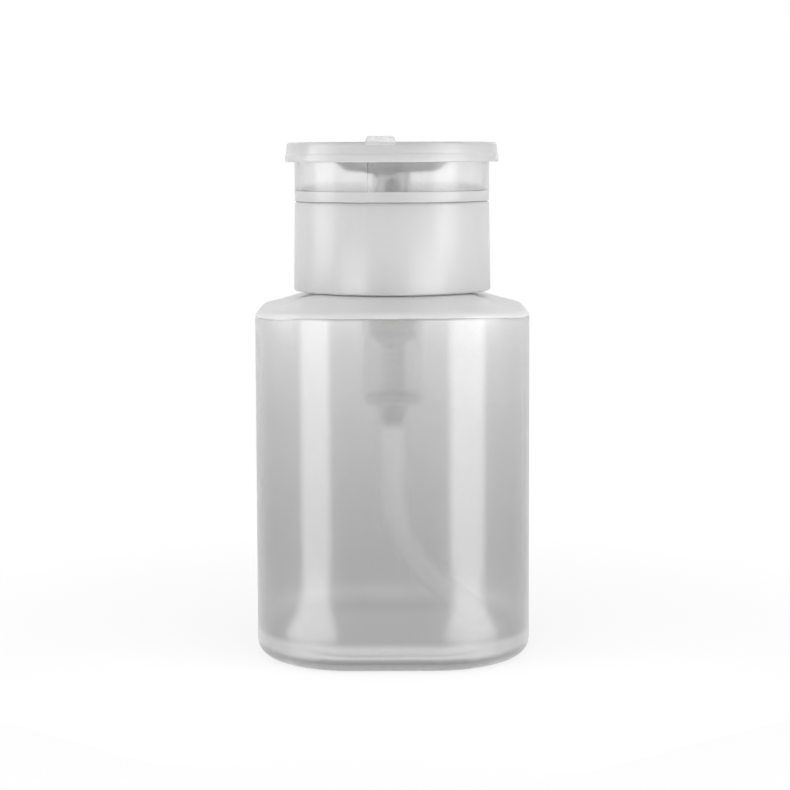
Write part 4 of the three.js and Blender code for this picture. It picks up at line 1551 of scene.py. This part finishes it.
def make_piston():
    pump = settings().pump
    bore_inset = 0.25 * MM
    bore = pump.stem_radius - bore_inset
    lip = pump.chamber_radius - PUMP_GAP
    waist_depth = 0.6 * MM
    waist = lip - waist_depth
    low_bevel = 1.2 * MM
    edge = 0.1 * MM
    lip_height = 0.8 * MM
    waist_start = 1.2 * MM
    low, high = foot("piston"), top("piston")
    soft = SMALL_ROUND
    piston = turned("lipped_piston", [
        (bore, low, soft),
        (lip - low_bevel, low, soft),
        (lip, low + edge, soft / 2),
        (lip, low + lip_height, EDGE_ROUND),
        (waist, low + waist_start, EDGE_ROUND),
        (waist, high - waist_start, EDGE_ROUND),
        (lip, high - lip_height, EDGE_ROUND),
        (lip, high - edge, soft / 2),
        (waist, high, soft),
        (bore, high, soft),
    ], SMALL_SIDES)
    return fitted(piston, "dish_body", "piston", seal_plastic())


def make_stem_foot():
    pump = settings().pump
    plug = pump.stem_bore - PUMP_GAP
    nose = pump.spring_radius - pump.wire_radius - SLIDE_GAP
    nose_taper = 0.2 * MM
    radius = 3.3 * MM
    bore = 0.6 * MM
    flange_gap = 0.1 * MM
    flange_thickness = 0.8 * MM
    high = foot("piston") - flange_gap
    low = high - flange_thickness
    soft = TINY_ROUND
    plug_piece = turned("foot_plug", [
        (bore, foot("stem_foot"), soft),
        (nose - nose_taper, foot("stem_foot"), RIM_ROUND),
        (nose, low, soft),
        (radius, low, soft),
        (radius, high, soft),
        (plug, high, soft),
        (plug, top("stem_foot"), RIM_ROUND),
        (bore, top("stem_foot"), soft),
    ], SMALL_SIDES)
    return fitted(plug_piece, "dish_body", "stem_foot", seal_plastic())


def tube_point(run, straight, bend, arc, angle, high):
    """Middle of the dip tube after run, and the angle that it has turned through."""
    turned_by = min(max((run - straight) / bend, 0), angle)
    rest = max(0, run - straight - arc)
    x = bend * (1 - math.cos(turned_by)) + rest * math.sin(angle)
    z = high - min(run, straight) - bend * math.sin(turned_by) - rest * math.cos(angle)
    return Vector((x, 0, z)), turned_by


def make_dip_tube():
    pump = settings().pump
    angle = pump.tube_angle
    high = top("dip_tube")
    low = foot("dip_tube") + pump.tube_radius * math.sin(angle)
    drop = high - low
    straight = drop * pump.tube_straight
    bend = drop * pump.tube_bend
    arc = bend * angle
    tail = (drop - straight - bend * math.sin(angle)) / math.cos(angle)
    soft = TINY_ROUND
    bore = pump.tube_radius - pump.tube_wall
    total = straight + arc + tail

    def tube_ring(run, radius):
        middle, turned_by = tube_point(run, straight, bend, arc, angle, high)
        across = Vector((math.cos(turned_by), 0, math.sin(turned_by)))
        angles = [2 * math.pi * s / TUBE_SIDES for s in range(TUBE_SIDES)]
        return [
            middle + across * (radius * math.cos(a)) + Vector((0, radius * math.sin(a), 0))
            for a in angles
        ]

    runs = [total * k / TUBE_STEPS for k in range(1, TUBE_STEPS)]
    outside = [(0, pump.tube_radius - soft), (soft, pump.tube_radius)]
    outside += [(run, pump.tube_radius) for run in runs]
    outside += [(total - soft, pump.tube_radius), (total, pump.tube_radius - soft)]
    inside = [(run, bore) for run in [total, *reversed(runs), 0]]
    tube = loft("curved_dip_tube", [tube_ring(*place) for place in outside + inside], closed=True)
    return fitted(tube, "pump_body", "dip_tube", tube_plastic())


# Stage


FLOOR_COLOR = (0.93, 0.93, 0.93, 1)
FLOOR_CLOUD_SHARE = 0.01
WHITE_START_SHARE = 0.72     # of white in the floor at the bottle
WHITE_RISE_SHARE = 0.4       # more white at the shade's reach
THROUGH_SHARE = 0.95         # of white in the floor as seen through plastic
MIRRORED_SHARE = 0.5         # of white in the floor as it is mirrored
SENSOR_WIDTH = 36            # millimetres, as Blender gives it
SHIFT_SHARE = -0.1           # of the picture's width
NEAREST_SEEN = 10 * MM
FARTHEST_SEEN = 20
LIGHT_BOUNCES = 24


def area_lamp(name, place, aim, size, radiance):
    """A soft panel lamp. radiance is its brightness, where 1 is white."""
    light = bpy.data.lights.new(name, "AREA")
    light.shape = "RECTANGLE"
    light.size, light.size_y = size
    light.energy = radiance * math.pi * size[0] * size[1]
    lamp = bpy.data.objects.new(name, light)
    lamp.location = place
    lamp.rotation_mode = "QUATERNION"
    lamp.rotation_quaternion = (Vector(aim) - Vector(place)).to_track_quat("-Z", "Y")
    lamp.visible_camera = False
    bpy.context.scene.collection.objects.link(lamp)
    return lamp


def make_world(strength):
    world = bpy.data.worlds.new("Studio")
    world.use_nodes = True
    tree = world.node_tree
    tree.nodes.clear()
    path = tree.nodes.new("ShaderNodeLightPath")
    seen = math_node(
        tree, "MAXIMUM", path.outputs["Is Camera Ray"], path.outputs["Is Transmission Ray"]
    )
    seen = math_node(tree, "MAXIMUM", seen, path.outputs["Is Glossy Ray"])
    light = tree.nodes.new("ShaderNodeBackground")
    light.inputs["Strength"].default_value = strength
    white = tree.nodes.new("ShaderNodeBackground")
    for node in (light, white):
        node.inputs["Color"].default_value = WHITE
    mix = tree.nodes.new("ShaderNodeMixShader")
    out = tree.nodes.new("ShaderNodeOutputWorld")
    tree.links.new(seen, mix.inputs[0])
    tree.links.new(light.outputs[0], mix.inputs[1])
    tree.links.new(white.outputs[0], mix.inputs[2])
    tree.links.new(mix.outputs[0], out.inputs[0])
    bpy.context.scene.world = world


def floor_material(stage):
    """A pale floor whose shade fades out into the white backdrop away from the bottle."""
    material, tree, shader = new_material("Pale Floor")
    tree.nodes.remove(shader)
    out = tree.nodes["Material Output"]
    place = tree.nodes.new("ShaderNodeTexCoord").outputs["Object"]
    away = tree.nodes.new("ShaderNodeVectorMath")
    away.operation = "LENGTH"
    tree.links.new(place, away.inputs[0])
    fade = math_node(tree, "DIVIDE", away.outputs["Value"], stage.shade_reach)
    fade = math_node(tree, "MULTIPLY_ADD", fade, WHITE_RISE_SHARE, WHITE_START_SHARE)
    fade = math_node(tree, "MINIMUM", fade, 1.0)
    path = tree.nodes.new("ShaderNodeLightPath")
    paint = tree.nodes.new("ShaderNodeBsdfDiffuse")
    grain = place_group(tree, moulded_skin(), Color=FLOOR_COLOR, Cloud_Depth=FLOOR_CLOUD_SHARE)
    tree.links.new(grain.outputs["Color"], paint.inputs["Color"])
    glow = tree.nodes.new("ShaderNodeEmission")
    glow.inputs["Color"].default_value = WHITE
    seen = math_node(tree, "MULTIPLY", path.outputs["Is Camera Ray"], fade)
    through = math_node(tree, "MULTIPLY", path.outputs["Is Transmission Ray"], THROUGH_SHARE)
    seen = math_node(tree, "MAXIMUM", seen, through)
    mirrored = math_node(tree, "MULTIPLY", path.outputs["Is Glossy Ray"], MIRRORED_SHARE)
    seen = math_node(tree, "MAXIMUM", seen, mirrored)
    mix = tree.nodes.new("ShaderNodeMixShader")
    tree.links.new(seen, mix.inputs[0])
    tree.links.new(paint.outputs[0], mix.inputs[1])
    tree.links.new(glow.outputs[0], mix.inputs[2])
    tree.links.new(mix.outputs[0], out.inputs["Surface"])
    return material


def make_floor(stage):
    bm = bmesh.new()
    bmesh.ops.create_grid(bm, x_segments=8, y_segments=8, size=stage.floor_size / 2)
    floor = new_piece("studio_floor", bm)
    floor.data.materials.append(floor_material(stage))


def make_camera(stage):
    camera = bpy.data.cameras.new("Camera")
    camera.lens = stage.camera_lens
    camera.sensor_width = SENSOR_WIDTH
    camera.shift_y = SHIFT_SHARE
    camera.clip_start = NEAREST_SEEN
    camera.clip_end = FARTHEST_SEEN
    holder = bpy.data.objects.new("Camera", camera)
    holder.location = (stage.camera_side, -stage.camera_distance, stage.camera_height)
    aim = Matrix.Rotation(math.pi / 2 - stage.camera_tilt, 4, "X")
    roll = Matrix.Rotation(stage.camera_roll, 4, "Z")
    holder.rotation_euler = (aim @ roll).to_euler()
    bpy.context.scene.collection.objects.link(holder)
    bpy.context.scene.camera = holder


def panel_arm(angle):
    """Points from the neck's axis towards a panel, at an angle from the view axis."""
    return Vector((math.sin(angle), -math.cos(angle), 0))


def floor_card(name, angle, stage):
    """A bright card that lies on the floor in front of a low panel and faces up."""
    outward = panel_arm(angle)
    depth = stage.low_away - stage.card_near
    card_height = 1.0 * MM
    middle = outward * (stage.card_near + depth / 2) + Vector((0, 0, card_height))
    size = (stage.card_width, depth)
    card = area_lamp(name, middle, middle + Vector((0, 0, 1)), size, stage.card_light)
    card.rotation_mode = "XYZ"
    card.rotation_euler = (math.pi, 0, angle)


def make_stage():
    stage = settings().stage
    make_camera(stage)
    make_floor(stage)
    make_world(stage.sky)
    low_middle = stage.low_height / 2
    high_middle = stage.high_foot + stage.high_height / 2
    high_size = (stage.high_width, stage.high_height)
    for name, low_side, low_width, high_side in (
        ("Left", -stage.low_left, stage.low_left_width, -stage.high_left),
        ("Right", stage.low_right, stage.low_right_width, stage.high_right),
    ):
        place = panel_arm(low_side) * stage.low_away + Vector((0, 0, low_middle))
        low_size = (low_width, stage.low_height)
        area_lamp(name + " Low Panel", place, (0, 0, low_middle), low_size, stage.low_light)
        place = panel_arm(high_side) * stage.high_away + Vector((0, 0, high_middle))
        area_lamp(name + " High Panel", place, (0, 0, high_middle), high_size, stage.panel_light)
        floor_card(name + " Card", low_side, stage)
    bpy.context.scene.view_settings.view_transform = "Standard"
    cycles = bpy.context.scene.cycles
    cycles.max_bounces = LIGHT_BOUNCES
    cycles.transmission_bounces = LIGHT_BOUNCES


# Operators and panel


class PieceOperator:
    """Shared by the operators, each of which runs the function that makes its piece."""

    bl_options = {"REGISTER", "UNDO"}
    make = None

    def execute(self, context):
        type(self).make()
        return {"FINISHED"}


class PRESSPUMP_OT_bottle(PieceOperator, bpy.types.Operator):
    """Make the blown bottle with its threaded neck"""

    bl_idname = "press_pump.bottle"
    bl_label = "Bottle"
    make = staticmethod(make_bottle)


class PRESSPUMP_OT_gasket(PieceOperator, bpy.types.Operator):
    """Make the flat ring that seals the neck"""

    bl_idname = "press_pump.gasket"
    bl_label = "Neck gasket"
    make = staticmethod(make_gasket)


class PRESSPUMP_OT_collar(PieceOperator, bpy.types.Operator):
    """Make the screw collar with its inner thread"""

    bl_idname = "press_pump.collar"
    bl_label = "Screw collar"
    make = staticmethod(make_collar)


class PRESSPUMP_OT_guide_ring(PieceOperator, bpy.types.Operator):
    """Make the guide ring with its deck, key and hinge ears"""

    bl_idname = "press_pump.guide_ring"
    bl_label = "Guide ring"
    make = staticmethod(make_guide_ring)


class PRESSPUMP_OT_lid(PieceOperator, bpy.types.Operator):
    """Make the flip lid with its thumb tab and knuckle"""

    bl_idname = "press_pump.lid"
    bl_label = "Flip lid"
    make = staticmethod(make_lid)


class PRESSPUMP_OT_hinge_pin(PieceOperator, bpy.types.Operator):
    """Make the pin of the lid"""

    bl_idname = "press_pump.hinge_pin"
    bl_label = "Hinge pin"
    make = staticmethod(make_hinge_pin)


class PRESSPUMP_OT_dish(PieceOperator, bpy.types.Operator):
    """Make the dish that a cotton pad presses down"""

    bl_idname = "press_pump.dish"
    bl_label = "Press dish"
    make = staticmethod(make_dish)


class PRESSPUMP_OT_nozzle(PieceOperator, bpy.types.Operator):
    """Make the drilled button in the middle of the dish"""

    bl_idname = "press_pump.nozzle"
    bl_label = "Nozzle"
    make = staticmethod(make_nozzle)


class PRESSPUMP_OT_housing(PieceOperator, bpy.types.Operator):
    """Make the pump's chamber with its flange and spigot"""

    bl_idname = "press_pump.housing"
    bl_label = "Pump housing"
    make = staticmethod(make_housing)


class PRESSPUMP_OT_sleeve(PieceOperator, bpy.types.Operator):
    """Make the sleeve that guides the stem"""

    bl_idname = "press_pump.sleeve"
    bl_label = "Stem sleeve"
    make = staticmethod(make_sleeve)


class PRESSPUMP_OT_ball_cage(PieceOperator, bpy.types.Operator):
    """Make the slotted disc over the inlet ball"""

    bl_idname = "press_pump.ball_cage"
    bl_label = "Ball cage"
    make = staticmethod(make_ball_cage)


class PRESSPUMP_OT_balls(PieceOperator, bpy.types.Operator):
    """Make the two check balls"""

    bl_idname = "press_pump.balls"
    bl_label = "Check balls"
    make = staticmethod(make_balls)


class PRESSPUMP_OT_spring(PieceOperator, bpy.types.Operator):
    """Make the return spring at its rest length; the real one shortens as the dish goes down"""

    bl_idname = "press_pump.spring"
    bl_label = "Return spring"
    make = staticmethod(make_spring)


class PRESSPUMP_OT_stem(PieceOperator, bpy.types.Operator):
    """Make the hollow stem"""

    bl_idname = "press_pump.stem"
    bl_label = "Stem"
    make = staticmethod(make_stem)


class PRESSPUMP_OT_piston(PieceOperator, bpy.types.Operator):
    """Make the piston with its two lips"""

    bl_idname = "press_pump.piston"
    bl_label = "Piston"
    make = staticmethod(make_piston)


class PRESSPUMP_OT_stem_foot(PieceOperator, bpy.types.Operator):
    """Make the plug that holds the piston on the stem"""

    bl_idname = "press_pump.stem_foot"
    bl_label = "Stem foot"
    make = staticmethod(make_stem_foot)


class PRESSPUMP_OT_dip_tube(PieceOperator, bpy.types.Operator):
    """Make the dip tube that curves into the bottle's corner"""

    bl_idname = "press_pump.dip_tube"
    bl_label = "Dip tube"
    make = staticmethod(make_dip_tube)


class PRESSPUMP_OT_stage(PieceOperator, bpy.types.Operator):
    """Make the floor, the soft light and the camera"""

    bl_idname = "press_pump.stage"
    bl_label = "Stage"
    make = staticmethod(make_stage)


OPERATORS = (
    PRESSPUMP_OT_stage,
    PRESSPUMP_OT_bottle,
    PRESSPUMP_OT_gasket,
    PRESSPUMP_OT_collar,
    PRESSPUMP_OT_guide_ring,
    PRESSPUMP_OT_lid,
    PRESSPUMP_OT_hinge_pin,
    PRESSPUMP_OT_dish,
    PRESSPUMP_OT_nozzle,
    PRESSPUMP_OT_housing,
    PRESSPUMP_OT_sleeve,
    PRESSPUMP_OT_ball_cage,
    PRESSPUMP_OT_balls,
    PRESSPUMP_OT_spring,
    PRESSPUMP_OT_stem,
    PRESSPUMP_OT_piston,
    PRESSPUMP_OT_stem_foot,
    PRESSPUMP_OT_dip_tube,
)


class PRESSPUMP_PT_pieces(bpy.types.Panel):
    """Lists the pieces of the press pump"""

    bl_idname = "PRESSPUMP_PT_pieces"
    bl_label = "Press Pump"
    bl_space_type = "VIEW_3D"
    bl_region_type = "UI"
    bl_category = "Press Pump"

    def draw(self, context):
        for operator in OPERATORS:
            self.layout.operator(operator.bl_idname)


CLASSES = (
    BottleSizes,
    ThreadSizes,
    ClosureSizes,
    PumpSizes,
    FinishSettings,
    StageSettings,
    PressPumpSettings,
    *OPERATORS,
    PRESSPUMP_PT_pieces,
)


def register():
    for cls in CLASSES:
        bpy.utils.register_class(cls)
    bpy.types.Scene.press_pump = PointerProperty(
        type=PressPumpSettings, name="Press pump", description="Sizes and finishes of the pump"
    )


def unregister():
    del bpy.types.Scene.press_pump
    for cls in reversed(CLASSES):
        bpy.utils.unregister_class(cls)


def main():
    register()
    for operator in OPERATORS:
        group, name = operator.bl_idname.split(".")
        getattr(getattr(bpy.ops, group), name)()


if __name__ == "__main__":
    main()
